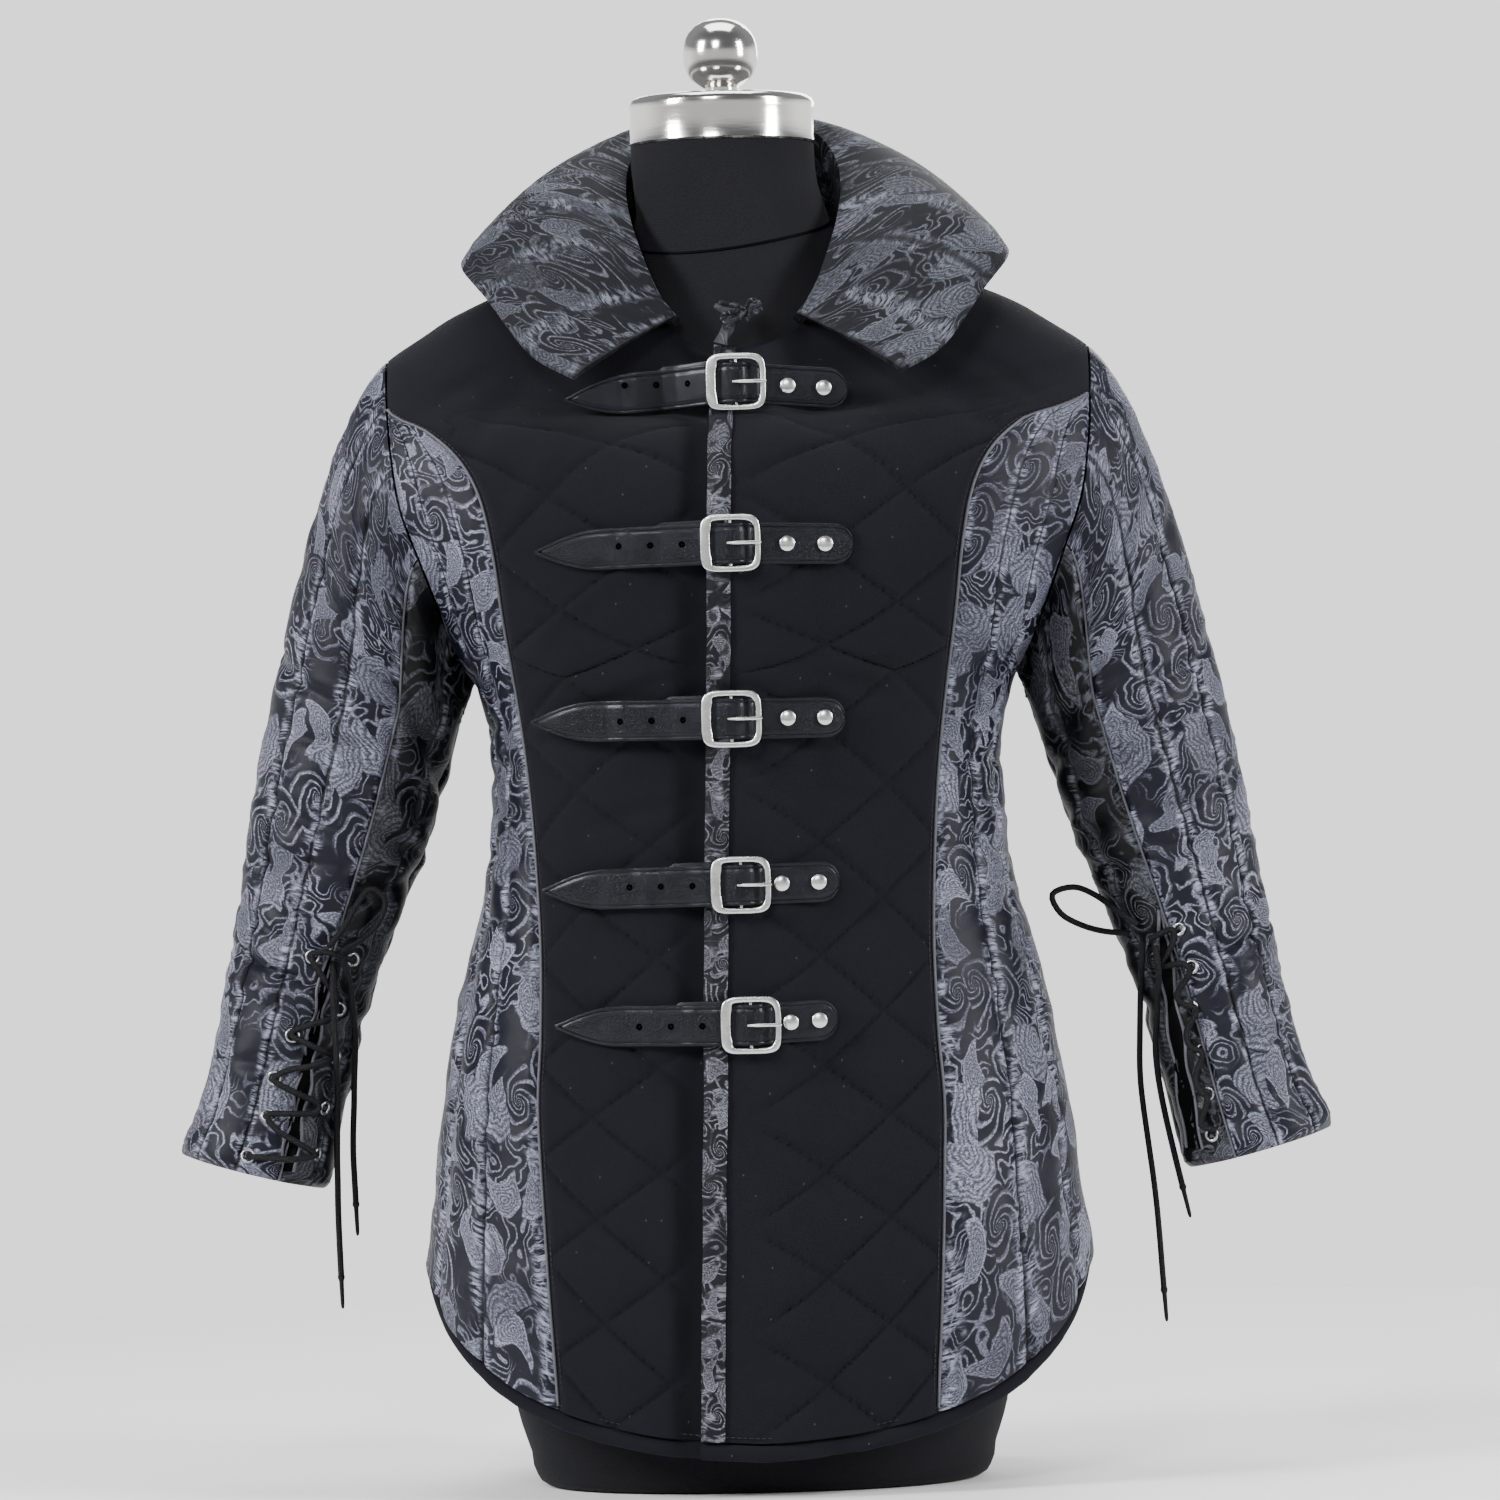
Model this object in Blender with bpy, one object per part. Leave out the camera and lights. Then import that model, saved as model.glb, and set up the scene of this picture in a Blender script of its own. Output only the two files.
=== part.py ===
"""A quilted gambeson (a padded coat) worn on a limbless dress form.

The coat's front faces -Y, +X is the wearer's left, and the form stands on z = 0.
Sizes in the tables are millimetres; meshes are built in metres.
"""
import math

import bmesh
import bpy
from mathutils import Vector
from mathutils.bvhtree import BVHTree

MM = 0.001

# Cloth: the padded wall, the gap left at each seam, and how far quilting stands up
WALL = 6.0
SEAM_GAP = 0.5
QUILT_RISE = 3.2
CHANNEL_RISE = 4.0

# Heights that divide the body of the coat
SKIRT_TOP = 330.0
UNDERARM = 562.0
SEAM_AT_ARMHOLE = 764.0
SHOULDER_TIP = 790.0
NECKLINE = 870.0
NECK_DROP_FROM = 700.0
FRONT_NECK_DROP = 88.0

SKIRT_ROWS = 16
WAIST_ROWS = 12
ARMHOLE_ROWS = 15
SHOULDER_ROWS = 5

# Ring shape: 2 is an ellipse, more is squarer
RING_POWER = 2.3

# The coat's level rings: height, half width, front face, back face
COAT_RINGS = (
    (20, 236, -150, 155),
    (100, 235, -150, 155),
    (150, 231, -149, 155),
    (200, 223.5, -147, 153),
    (250, 218, -144, 150),
    (300, 210, -141, 146),
    (350, 200, -136, 140),
    (400, 186.5, -131, 132),
    (440, 179, -128, 126),
    (475, 176, -127, 121),
    (510, 175, -129, 119),
    (545, 181, -134, 120),
    (562, 188, -138, 121),
    (600, 215, -145, 125),
    (640, 250, -148, 129),
    (680, 272, -144, 132),
    (720, 278, -134, 132),
    (755, 268, -120, 127),
    (780, 252, -108, 119),
    (790, 245, -104, 116),
    (812, 214, -99, 108),
    (825, 192, -95, 103),
    (838, 162, -91, 98),
    (850, 128, -87, 93),
    (860, 101, -82, 88),
    (870, 84, -76, 82),
)

# Side view of the armhole seam as seen from the front: height, distance from the middle
ARMHOLE_SEAM = (
    (562, 188), (580, 198), (600, 207), (640, 221), (680, 235),
    (720, 241), (755, 243.5), (780, 245), (790, 245),
)

# The long front and back seams: height, distance from the coat's middle line
PRINCESS_SEAM = (
    (20, 128), (60, 129), (100, 131), (171, 135), (265, 139), (320, 136), (380, 135),
    (450, 138), (500, 142), (550, 148), (600, 155), (650, 161), (690, 170), (720, 187),
    (745, 211), (764, 238),
)
COAT_MIDDLE = -10.0

# The hem's height at each angle round the coat, from the front middle to the side
HEM_LINE = (
    (0, 26), (15, 32), (30, 46), (45, 68), (55, 87), (65, 108), (75, 130), (82, 141), (90, 147),
)
HEM_BAND = 13.0

# The wearer's left front laps over the right one: height, where its edge lies
LAP_EDGE = ((20, -43), (779, -20), (870, -17))
UNDERLAP_END = 8.0
LAP_LIFT = 7.4
LAP_PRESS = 2.4

FRONT_COLUMNS = 6
BACK_COLUMNS = 12
SIDE_CHANNELS = 3
COLUMNS_PER_SIDE_CHANNEL = 2
KEPT_ROW_STEP = 4
KEPT_ARMHOLE_STEP = 3

# Sleeve rings below the cap: height, distance from the middle, y, half width, half depth
SLEEVE_RINGS = (
    (545, 266, 0, 64, 66),
    (475, 284, 1, 61, 61),
    (405, 303, -2, 53, 54),
    (335, 321, -8, 47.5, 49),
    (265, 338.5, -16, 47.5, 47),
    (225, 351, -20, 52.5, 50),
)
SLEEVE_AXIS = Vector((0.26, 0, -0.966))
CAP_RINGS = 5
CAP_PULL = 0.6
ARMHOLE_MIDDLE = Vector((225, 3, 680))
SLEEVE_COLUMNS = 2 * ARMHOLE_ROWS
FRONT_SLEEVE_SEAM = 9
COLUMNS_PER_SLEEVE_CHANNEL = 3


def mix(first, second, amount):
    return first + (second - first) * amount


def ease(low, high, value):
    share = min(max((value - low) / (high - low), 0.0), 1.0)
    return share * share * (3 - 2 * share)


def read(table, key):
    """The table's columns at a key, on smooth curves through its rows."""
    last = len(table) - 1
    key = min(max(key, table[0][0]), table[last][0])
    row = 0
    while row < last - 1 and key > table[row + 1][0]:
        row += 1
    here, after = table[row], table[row + 1]
    before, beyond = table[max(row - 1, 0)], table[min(row + 2, last)]
    span = after[0] - here[0]
    t = (key - here[0]) / span
    values = []
    for column in range(1, len(here)):
        slope_here = (after[column] - before[column]) / (after[0] - before[0]) * span
        slope_after = (beyond[column] - here[column]) / (beyond[0] - here[0]) * span
        values.append(
            (2 * t**3 - 3 * t**2 + 1) * here[column] + (t**3 - 2 * t**2 + t) * slope_here
            + (3 * t**2 - 2 * t**3) * after[column] + (t**3 - t**2) * slope_after)
    return values


def signed_power(value, power):
    return math.copysign(abs(value) ** power, value)


def coat_point(angle, level, inset_x=0.0, inset_y=0.0):
    """A point of the coat's outer face: 0 is the front middle, 90 degrees the wearer's left."""
    half_width, front, back = read(COAT_RINGS, level)
    side = math.sin(angle)
    ahead = math.cos(angle)
    x = (half_width - inset_x) * signed_power(side, 2 / RING_POWER)
    depth = -front - inset_y if ahead > 0 else back - inset_y
    y = -depth * signed_power(ahead, 2 / RING_POWER)
    drop = FRONT_NECK_DROP * ((1 + ahead) / 2) ** 4 * ease(NECK_DROP_FROM, NECKLINE, level)
    return Vector((x, y, level - drop))


def coat_normal(angle, level):
    turn = 0.02
    rise = 3.0
    across = coat_point(angle + turn, level) - coat_point(angle - turn, level)
    along = coat_point(angle, min(level + rise, NECKLINE)) - coat_point(angle, level - rise)
    return across.cross(along).normalized()


def angle_at(x, level, behind=False):
    """The angle at which the ring at this level reaches x."""
    half_width = read(COAT_RINGS, level)[0]
    share = min(abs(x) / half_width, 1.0) ** (RING_POWER / 2)
    angle = math.copysign(math.asin(share), x)
    return math.copysign(math.pi, x) - angle if behind else angle


def hem_height(angle):
    turned = abs(math.degrees(math.atan2(math.sin(angle), math.cos(angle))))
    return read(HEM_LINE, 180 - turned if turned > 90 else turned)[0] + HEM_BAND


ROWS = SKIRT_ROWS + WAIST_ROWS + ARMHOLE_ROWS + SHOULDER_ROWS + 1
ARMHOLE_FIRST = SKIRT_ROWS + WAIST_ROWS
ARMHOLE_LAST = ARMHOLE_FIRST + ARMHOLE_ROWS


def armhole_share(step):
    """Rows lie closer together at the top and bottom of the armhole."""
    share = step / ARMHOLE_ROWS
    return 0.6 * 0.5 * (1 - math.cos(math.pi * share)) + 0.4 * share


def row_level(row, angle=0.0):
    if row <= SKIRT_ROWS:
        return mix(hem_height(angle), SKIRT_TOP, row / SKIRT_ROWS)
    if row <= ARMHOLE_FIRST:
        return mix(SKIRT_TOP, UNDERARM, (row - SKIRT_ROWS) / WAIST_ROWS)
    if row <= ARMHOLE_LAST:
        return mix(UNDERARM, SHOULDER_TIP, armhole_share(row - ARMHOLE_FIRST))
    return mix(SHOULDER_TIP, NECKLINE, (row - ARMHOLE_LAST) / SHOULDER_ROWS)


# The row at which the long seam meets the armhole
SEAM_END_ROW = min(range(ARMHOLE_FIRST, ARMHOLE_LAST),
                   key=lambda row: abs(row_level(row) - SEAM_AT_ARMHOLE))


def armhole_angle(row, behind):
    level = row_level(row)
    cut = read(ARMHOLE_SEAM, level)[0]
    angle = angle_at(cut, level)
    return math.pi - angle if behind else angle


def armhole_point(row, side, behind):
    """A point of the armhole seam; side is 1 on the wearer's left and -1 on the right."""
    point = coat_point(armhole_angle(row, behind), row_level(row))
    return Vector((point.x * side, point.y, point.z))


def armhole_inward(point, side):
    middle = Vector((ARMHOLE_MIDDLE.x * side, ARMHOLE_MIDDLE.y, ARMHOLE_MIDDLE.z))
    return (middle - point).normalized()


def seam_angle(row, side, behind):
    """Angle of the long seam, and above it of the armhole and then the shoulder seam."""
    if row > ARMHOLE_LAST:
        return math.pi / 2
    if row >= SEAM_END_ROW:
        return armhole_angle(row, behind)
    level = row_level(row, math.radians(40))
    across = read(PRINCESS_SEAM, level)[0]
    if not behind:
        across += side * COAT_MIDDLE
    angle = angle_at(across, level)
    return math.pi - angle if behind else angle


def shift_angle(angle, level, distance):
    """An angle moved along the ring by a distance."""
    step = 0.01
    pace = (coat_point(angle + step, level) - coat_point(angle - step, level)).length / (2 * step)
    return angle + distance / pace


def quilt_height(column, row):
    """Pillows between two sets of slanting stitch lines, four columns and rows apart."""
    up = math.sin(math.pi * (column + row) / 4)
    down = math.sin(math.pi * (column - row) / 4)
    return QUILT_RISE * math.sqrt(abs(up * down))


def make_object(name, mesh_tool, material, smooth=False):
    mesh = bpy.data.meshes.new(name)
    bmesh.ops.recalc_face_normals(mesh_tool, faces=mesh_tool.faces)
    bmesh.ops.scale(mesh_tool, vec=(MM, MM, MM), verts=mesh_tool.verts)
    mesh_tool.to_mesh(mesh)
    mesh_tool.free()
    if smooth:
        mesh.shade_smooth()
        mesh.set_sharp_from_angle(angle=math.radians(40))
    mesh.materials.append(material)
    made = bpy.data.objects.new(name, mesh)
    bpy.context.scene.collection.objects.link(made)
    return made


def kept(count, step):
    """Every index that step divides, and the last one."""
    return sorted(set(range(0, count, step)) | {count - 1})


def wall_mesh(outer, inner, kept_columns, kept_rows, slant=None):
    """A closed wall: a fine outer grid over a plainer inner one, joined round the rim.

    outer[row][column] are points; inner(row, column) gives the inner point of a kept pair.
    """
    tool = bmesh.new()
    rows = len(outer)
    columns = len(outer[0])
    out = [[tool.verts.new(point) for point in line] for line in outer]
    back = {(r, c): tool.verts.new(inner(r, c)) for r in kept_rows for c in kept_columns}

    def triangle(*corners):
        tool.faces.new(corners)

    for r in range(rows - 1):
        for c in range(columns - 1):
            a, b, d, e = out[r][c], out[r][c + 1], out[r + 1][c + 1], out[r + 1][c]
            if slant and slant(r, c):
                triangle(a, b, e)
                triangle(b, d, e)
            else:
                triangle(a, b, d)
                triangle(a, d, e)
    for r, r_next in zip(kept_rows, kept_rows[1:]):
        for c, c_next in zip(kept_columns, kept_columns[1:]):
            triangle(back[r, c], back[r_next, c], back[r_next, c_next])
            triangle(back[r, c], back[r_next, c_next], back[r, c_next])

    def rim(outer_run, inner_start, inner_end):
        if inner_start.co.z > inner_end.co.z:
            inner_start, inner_end = inner_end, inner_start
            outer_run = outer_run[::-1]
        for first, second in zip(outer_run, outer_run[1:]):
            triangle(inner_start, second, first)
        triangle(inner_start, inner_end, outer_run[-1])

    for r, r_next in zip(kept_rows, kept_rows[1:]):
        for c in (0, columns - 1):
            run = [out[i][c] for i in range(r, r_next + 1)]
            rim(run, back[r, c], back[r_next, c])
    for c, c_next in zip(kept_columns, kept_columns[1:]):
        for r in (0, rows - 1):
            run = [out[r][i] for i in range(c, c_next + 1)]
            rim(run, back[r, c], back[r, c_next])
    return tool


def coat_material(name, colour, roughness, metallic=0.0):
    material = bpy.data.materials.new(name)
    material.use_nodes = True
    shader = material.node_tree.nodes["Principled BSDF"]
    shader.inputs["Base Color"].default_value = (*colour, 1)
    shader.inputs["Roughness"].default_value = roughness
    shader.inputs["Metallic"].default_value = metallic
    material.diffuse_color = (*colour, 1)
    return material


def lap_lift(x):
    """How far the left front stands up where it lies on the right one."""
    return LAP_LIFT * (1 - ease(UNDERLAP_END + 12, UNDERLAP_END + 44, x))


def lap_press(x, level):
    """How far the right front is pressed flat under the left one, from 0 to 1."""
    edge = read(LAP_EDGE, level)[0]
    return ease(edge - 24, edge - 3, x)


def keeps_row(row):
    """True for the rows that the plain inner face keeps; neighbours share them at seams."""
    if row <= ARMHOLE_FIRST:
        return row % KEPT_ROW_STEP == 0
    if row <= ARMHOLE_LAST:
        return (ARMHOLE_LAST - row) % KEPT_ARMHOLE_STEP == 0 or row in (SEAM_END_ROW, SEAM_END_ROW - 1)
    return (ROWS - 1 - row) % 2 == 0


class Panel:
    """A panel of the coat's body, with its grid of angles and the height of its outer face."""

    def __init__(self, side, behind, first_row, last_row):
        self.side = side
        self.behind = behind
        self.rows = list(range(first_row, last_row + 1))

    def ready(self, angles, rise, sink, on_armhole, slant, column_step):
        """Points of the wall from each row's angles and the rise of its outer face."""
        self.angles = angles
        self.outer = []
        self.inner_points = {}
        for line, row in enumerate(self.rows):
            points = []
            for column, angle in enumerate(angles[line]):
                level = row_level(row, angle)
                base = coat_point(angle, level)
                normal = coat_normal(angle, level)
                point = base + normal * rise(line, column, base, level)
                inside = base - normal * (WALL - sink(base, level))
                if on_armhole(row, column):
                    side = math.copysign(1, base.x)
                    point = base
                    inside = base + armhole_inward(base, side) * WALL
                points.append(point)
                self.inner_points[line, column] = inside
            self.outer.append(points)
        columns = kept(len(angles[0]), column_step)
        rows = [line for line, row in enumerate(self.rows) if keeps_row(row)]
        rows = sorted(set(rows) | {len(self.rows) - 1})
        self.tool = wall_mesh(self.outer, lambda r, c: self.inner_points[r, c],
                              columns, rows, slant)
        return self


# Where a side panel ends, as a share of the last step up to the armhole
POINT_SHARE = 0.8
POINT_WALL = 1.6


def inset_edges(angles, level_of):
    """Moves a row's two end angles in by half of the seam gap."""
    angles[0] = shift_angle(angles[0], level_of(angles[0]), SEAM_GAP / 2)
    angles[-1] = shift_angle(angles[-1], level_of(angles[-1]), -SEAM_GAP / 2)
    return angles


def front_panel(side):
    """Black quilted front; side 1 is the wearer's left, which laps over."""
    panel = Panel(side, False, 0, ROWS - 1)
    angles = []
    for row in panel.rows:
        level = row_level(row, 0.0)
        seam = seam_angle(row, side, False)
        middle = angle_at(COAT_MIDDLE, level)
        if side > 0:
            start = angle_at(read(LAP_EDGE, level)[0], level)
            run = [start] + [mix(middle, seam, c / FRONT_COLUMNS) for c in range(FRONT_COLUMNS + 1)]
        else:
            end = angle_at(UNDERLAP_END, level)
            run = [mix(-seam, middle, c / FRONT_COLUMNS) for c in range(FRONT_COLUMNS + 1)] + [end]
        outer_end = -1 if side > 0 else 0
        level = row_level(row, run[outer_end])
        run[outer_end] = shift_angle(run[outer_end], level, -side * SEAM_GAP / 2)
        angles.append(run)

    def lattice(column):
        return column - 1 if side > 0 else FRONT_COLUMNS - column

    def rise(line, column, base, level):
        row = panel.rows[line]
        fade = 1 - ease(SEAM_AT_ARMHOLE - 60, SHOULDER_TIP, level)
        height = quilt_height(lattice(column), row) * fade * (column != edge)
        if side > 0:
            flat = ease(UNDERLAP_END - 22, UNDERLAP_END + 10, base.x)
            return height * flat + lap_lift(base.x)
        pressed = lap_press(base.x, level)
        return height * (1 - pressed) - LAP_PRESS * pressed

    def sink(base, level):
        return lap_lift(base.x) if side > 0 else 0.0

    def slant(line, column):
        low = lattice(column)
        high = lattice(column + 1)
        row = panel.rows[line]
        if high > low:
            return (high + row) % 4 == 0
        return (low + row + 1) % 4 != 0 and (high + row) % 4 != 0 and (high - row) % 4 == 0

    edge = len(angles[0]) - 1 if side > 0 else 0

    def on_armhole(row, column):
        return column == edge and SEAM_END_ROW <= row <= ARMHOLE_LAST

    column_step = 1 if side > 0 else 2
    return panel.ready(angles, rise, sink, on_armhole, slant, column_step)


def back_panel():
    panel = Panel(1, True, 0, ROWS - 1)
    angles = []
    for row in panel.rows:
        seam = seam_angle(row, 1, True)
        run = [mix(seam, 2 * math.pi - seam, c / BACK_COLUMNS) for c in range(BACK_COLUMNS + 1)]
        angles.append(inset_edges(run, lambda angle: row_level(row, angle)))

    def rise(line, column, base, level):
        fade = 1 - ease(SEAM_AT_ARMHOLE - 20, SHOULDER_TIP + 20, level)
        fade *= column not in (0, BACK_COLUMNS)
        return quilt_height(column - BACK_COLUMNS // 2, panel.rows[line]) * fade

    def slant(line, column):
        return (column - BACK_COLUMNS // 2 + 1 + panel.rows[line]) % 4 == 0

    def on_armhole(row, column):
        return column in (0, BACK_COLUMNS) and SEAM_END_ROW <= row <= ARMHOLE_LAST

    return panel.ready(angles, rise, lambda base, level: 0.0, on_armhole, slant, 2)


def side_panel(side, behind):
    """Brocade side with upright channels, from the long seam to the side seam.

    Its last row lies just short of the point where the two seams meet.
    """
    panel = Panel(side, behind, 0, SEAM_END_ROW - 1)
    panel.rows.append(SEAM_END_ROW - 1 + POINT_SHARE)
    count = SIDE_CHANNELS * COLUMNS_PER_SIDE_CHANNEL
    angles = []
    for row in panel.rows:
        start = seam_angle(row, side, behind)
        if row == panel.rows[-1]:
            start = mix(seam_angle(SEAM_END_ROW - 1, side, behind),
                        armhole_angle(SEAM_END_ROW, behind), POINT_SHARE)
        end = math.pi / 2
        if row > ARMHOLE_FIRST:
            end = armhole_angle(row, behind)
        run = [side * mix(start, end, c / count) for c in range(count + 1)]
        if side * (end - start) < 0:
            run.reverse()
        angles.append(inset_edges(run, lambda angle: row_level(row, angle)))
    arm_edge = count if (side > 0) != behind else 0

    def rise(line, column, base, level):
        narrow = ease(UNDERARM - 10, UNDERARM + 90, level)
        return CHANNEL_RISE * (column % COLUMNS_PER_SIDE_CHANNEL != 0) * (1 - narrow)

    def sink(base, level):
        return (WALL - POINT_WALL) * ease(row_level(SEAM_END_ROW - 1), row_level(panel.rows[-1]), level)

    def on_armhole(row, column):
        return ARMHOLE_FIRST <= row < SEAM_END_ROW - 0.5 and column == arm_edge

    return panel.ready(angles, rise, sink, on_armhole, None, 2)


def sleeve_angle(step):
    """Angle round the sleeve from its outer line; it runs on past 180 degrees behind the arm."""
    half = ARMHOLE_ROWS
    if step <= half:
        return math.pi * (step / half) ** 0.9
    return 2 * math.pi - math.pi * ((2 * half - step) / half) ** 0.9


def sleeve_ring_point(ring, step, side, inset):
    height, away, y, half_width, half_depth = ring
    angle = sleeve_angle(step)
    outward = Vector((-SLEEVE_AXIS.z, 0, SLEEVE_AXIS.x))
    point = Vector((away, y, height)) + outward * math.cos(angle) * (half_width - inset)
    point.y -= math.sin(angle) * (half_depth - inset)
    return Vector((point.x * side, point.y, point.z))


def sleeve_start(step, side, inset):
    """The armhole end of a line that runs down the sleeve."""
    row = ARMHOLE_LAST - step if step <= ARMHOLE_ROWS else ARMHOLE_LAST - (2 * ARMHOLE_ROWS - step)
    point = armhole_point(row, side, step > ARMHOLE_ROWS)
    inward = armhole_inward(point, side)
    return point + inward * inset + Vector((side * SEAM_GAP, 0, 0))


def sleeve_point(line, step, side, inset):
    """A point of the sleeve: the cap's rings first, then the rings of the table."""
    if line >= CAP_RINGS:
        return sleeve_ring_point(SLEEVE_RINGS[line - CAP_RINGS], step, side, inset)
    start = sleeve_start(step, side, inset)
    if line == 0:
        return start
    end = sleeve_ring_point(SLEEVE_RINGS[0], step, side, inset)
    reach = (end - start).length * CAP_PULL
    above = min(1.0, 1 + math.cos(sleeve_angle(step)))
    leave = Vector((side * mix(0.45, 0.8, above), 0, mix(-0.9, -0.6, above))) * reach
    arrive = Vector((side * SLEEVE_AXIS.x, 0, SLEEVE_AXIS.z)) * reach
    t = line / CAP_RINGS
    return ((2 * t**3 - 3 * t**2 + 1) * start + (t**3 - 2 * t**2 + t) * leave
            + (3 * t**2 - 2 * t**3) * end + (t**3 - t**2) * arrive)


def sleeve_outward(line, step, side):
    here = sleeve_point(line, step, side, 0)
    inside = sleeve_point(line, step, side, WALL)
    return (here - inside).normalized()


def sleeve_part(side, first_step, last_step):
    """Part of the sleeve's tube between two of its long lines."""
    lines = CAP_RINGS + len(SLEEVE_RINGS)
    steps = list(range(first_step, last_step + 1))

    def gap_shift(line, column):
        if column not in (0, len(steps) - 1):
            return Vector((0, 0, 0))
        inward = 1 if column == 0 else -1
        near = sleeve_point(line, steps[column] % SLEEVE_COLUMNS, side, 0)
        beyond = sleeve_point(line, steps[column + inward] % SLEEVE_COLUMNS, side, 0)
        return (beyond - near).normalized() * SEAM_GAP * 1.4

    outer = []
    inner = {}
    for line in range(lines):
        points = []
        for column, step in enumerate(steps):
            around = step % SLEEVE_COLUMNS
            valley = around % COLUMNS_PER_SLEEVE_CHANNEL == 0
            fade = ease(0, 2, line)
            point = sleeve_point(line, around, side, 0)
            if not valley:
                point = point + sleeve_outward(line, around, side) * CHANNEL_RISE * fade
            shift = gap_shift(line, column)
            points.append(point + shift)
            inner[line, column] = sleeve_point(line, around, side, WALL) + shift
        outer.append(points)
    columns = kept(len(steps), KEPT_ARMHOLE_STEP)
    return wall_mesh(outer, lambda r, c: inner[r, c], columns, kept(lines, 2))


# The form under the coat: height, how far in from the coat at the side and at front and back
FORM_INSETS = (
    (20, 74, 38), (55, 62, 36), (100, 57, 34), (150, 50, 31), (200, 42, 28), (250, 37, 25),
    (300, 32, 23), (350, 27, 20), (400, 21, 18), (475, 14, 15), (545, 13, 13), (620, 22, 11),
    (700, 40, 11), (760, 30, 11), (800, 18, 8), (870, 9, 9),
)
FORM_DROP = 8.5
FORM_ARM_PLATE = 196.0
FORM_COLUMNS = 24
FORM_ROWS = (14, 32, 90, 170, 260, 340, 410, 475, 540, 590, 640, 690, 730, 762, 785,
             803, 818, 832, 846, 858, 870)
FORM_BASE = ((0, 0.90), (4, 0.97))
# The neck above the coat's neckline: height, radius, middle's y
NECK_RINGS = ((886, 66.5, 1), (904, 64.5, 0), (932.6, 64, 0))
NECK_CAP = ((933, 64), (962, 64.5), (966, 62), (967, 40))
KNOB = ((967.4, 13), (973, 12), (979, 20.5), (988, 25.3), (998, 26.2), (1008, 24.5),
        (1016, 19), (1022, 10))
NECK_X = -7.0


def form_ring(level):
    inset_x, inset_y = read(FORM_INSETS, level)
    drop = FORM_DROP * ease(740, 800, level)
    points = []
    for column in range(FORM_COLUMNS):
        angle = 2 * math.pi * column / FORM_COLUMNS
        point = coat_point(angle, level, inset_x, inset_y)
        reach = abs(point.x) / FORM_ARM_PLATE
        point.x = math.copysign(FORM_ARM_PLATE * reach / (1 + reach ** 14) ** (1 / 14), point.x)
        point.z -= drop
        points.append(point)
    return points


def round_ring(height, radius, middle, columns, x=0.0):
    return [Vector((x + radius * math.sin(2 * math.pi * c / columns),
                    middle - radius * math.cos(2 * math.pi * c / columns), height))
            for c in range(columns)]


def loft(rings):
    """A closed solid through rings of equal count, with flat ends."""
    tool = bmesh.new()
    lines = [[tool.verts.new(point) for point in ring] for ring in rings]
    count = len(lines[0])
    for low, high in zip(lines, lines[1:]):
        for c in range(count):
            tool.faces.new((low[c], low[(c + 1) % count], high[(c + 1) % count], high[c]))
    tool.faces.new(list(reversed(lines[0])))
    tool.faces.new(lines[-1])
    return tool


def form_rings():
    lowest = form_ring(FORM_ROWS[0])
    rings = [[Vector((p.x * share, p.y * share, height)) for p in lowest]
             for height, share in FORM_BASE]
    rings += [form_ring(level) for level in FORM_ROWS]
    for height, radius, middle in NECK_RINGS:
        shift = NECK_X * ease(870, 920, height)
        rings.append(round_ring(height, radius, middle, FORM_COLUMNS, shift))
    return rings


# The collar from its front end to the middle of the back: the roll line and the outer edge,
# each x, y, z, and how far the roll swells
COLLAR_STATIONS = (
    ((47, -78, 806), (112, -125, 764), 2),
    ((58, -76, 822), (142, -112, 783), 10),
    ((68, -68, 848), (170, -76, 822), 18),
    ((76, -42, 874), (187, -30, 846), 24),
    ((80, -6, 899), (182, 24, 860), 28),
    ((77, 30, 922), (160, 76, 868), 30),
    ((62, 58, 943), (118, 116, 866), 30),
    ((34, 76, 955), (62, 138, 862), 28),
    ((0, 81, 959), (0, 145, 860), 28),
)
COLLAR_FRONT_ANGLE = 28.0
COLLAR_SEAM_LIFT = 1.3
COLLAR_CHANNELS = 15
COLLAR_COLUMNS = 2 * COLLAR_CHANNELS
COLLAR_WALL = 7.0
COLLAR_RISE = 4.0
COLLAR_STAND_LINES = 3
COLLAR_FALL_LINES = 6


def station(place):
    """Seam, roll, edge and swell at a place: -1 and 1 are the two front ends, 0 the back."""
    last = len(COLLAR_STATIONS) - 1
    along = (1 - abs(place)) * last
    table = [(index, *roll, *edge, swell)
             for index, (roll, edge, swell) in enumerate(COLLAR_STATIONS)]
    values = read(table, along)
    side = -1 if place < 0 else 1
    turn = math.radians(mix(180, COLLAR_FRONT_ANGLE, abs(place)))
    seam = coat_point(side * turn, NECKLINE) + Vector((0, 0, COLLAR_SEAM_LIFT))
    roll, edge = (Vector((side * values[i], values[i + 1], values[i + 2])) for i in (0, 3))
    return (seam, roll, edge), values[6]


def collar_point(place, line):
    """Line 0 is the neck seam, then up the stand, over the roll and down to the edge."""
    (seam, roll, edge), swell = station(place)
    if line <= COLLAR_STAND_LINES:
        share = line / COLLAR_STAND_LINES
        return seam.lerp(roll, share)
    share = (line - COLLAR_STAND_LINES) / COLLAR_FALL_LINES
    out = Vector((edge.x - roll.x, edge.y - roll.y, 0))
    crest = roll.lerp(edge, 0.42) + Vector((0, 0, swell * 1.5)) + out.normalized() * swell * 0.5
    return (1 - share) ** 2 * roll + 2 * share * (1 - share) * crest + share ** 2 * edge


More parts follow.
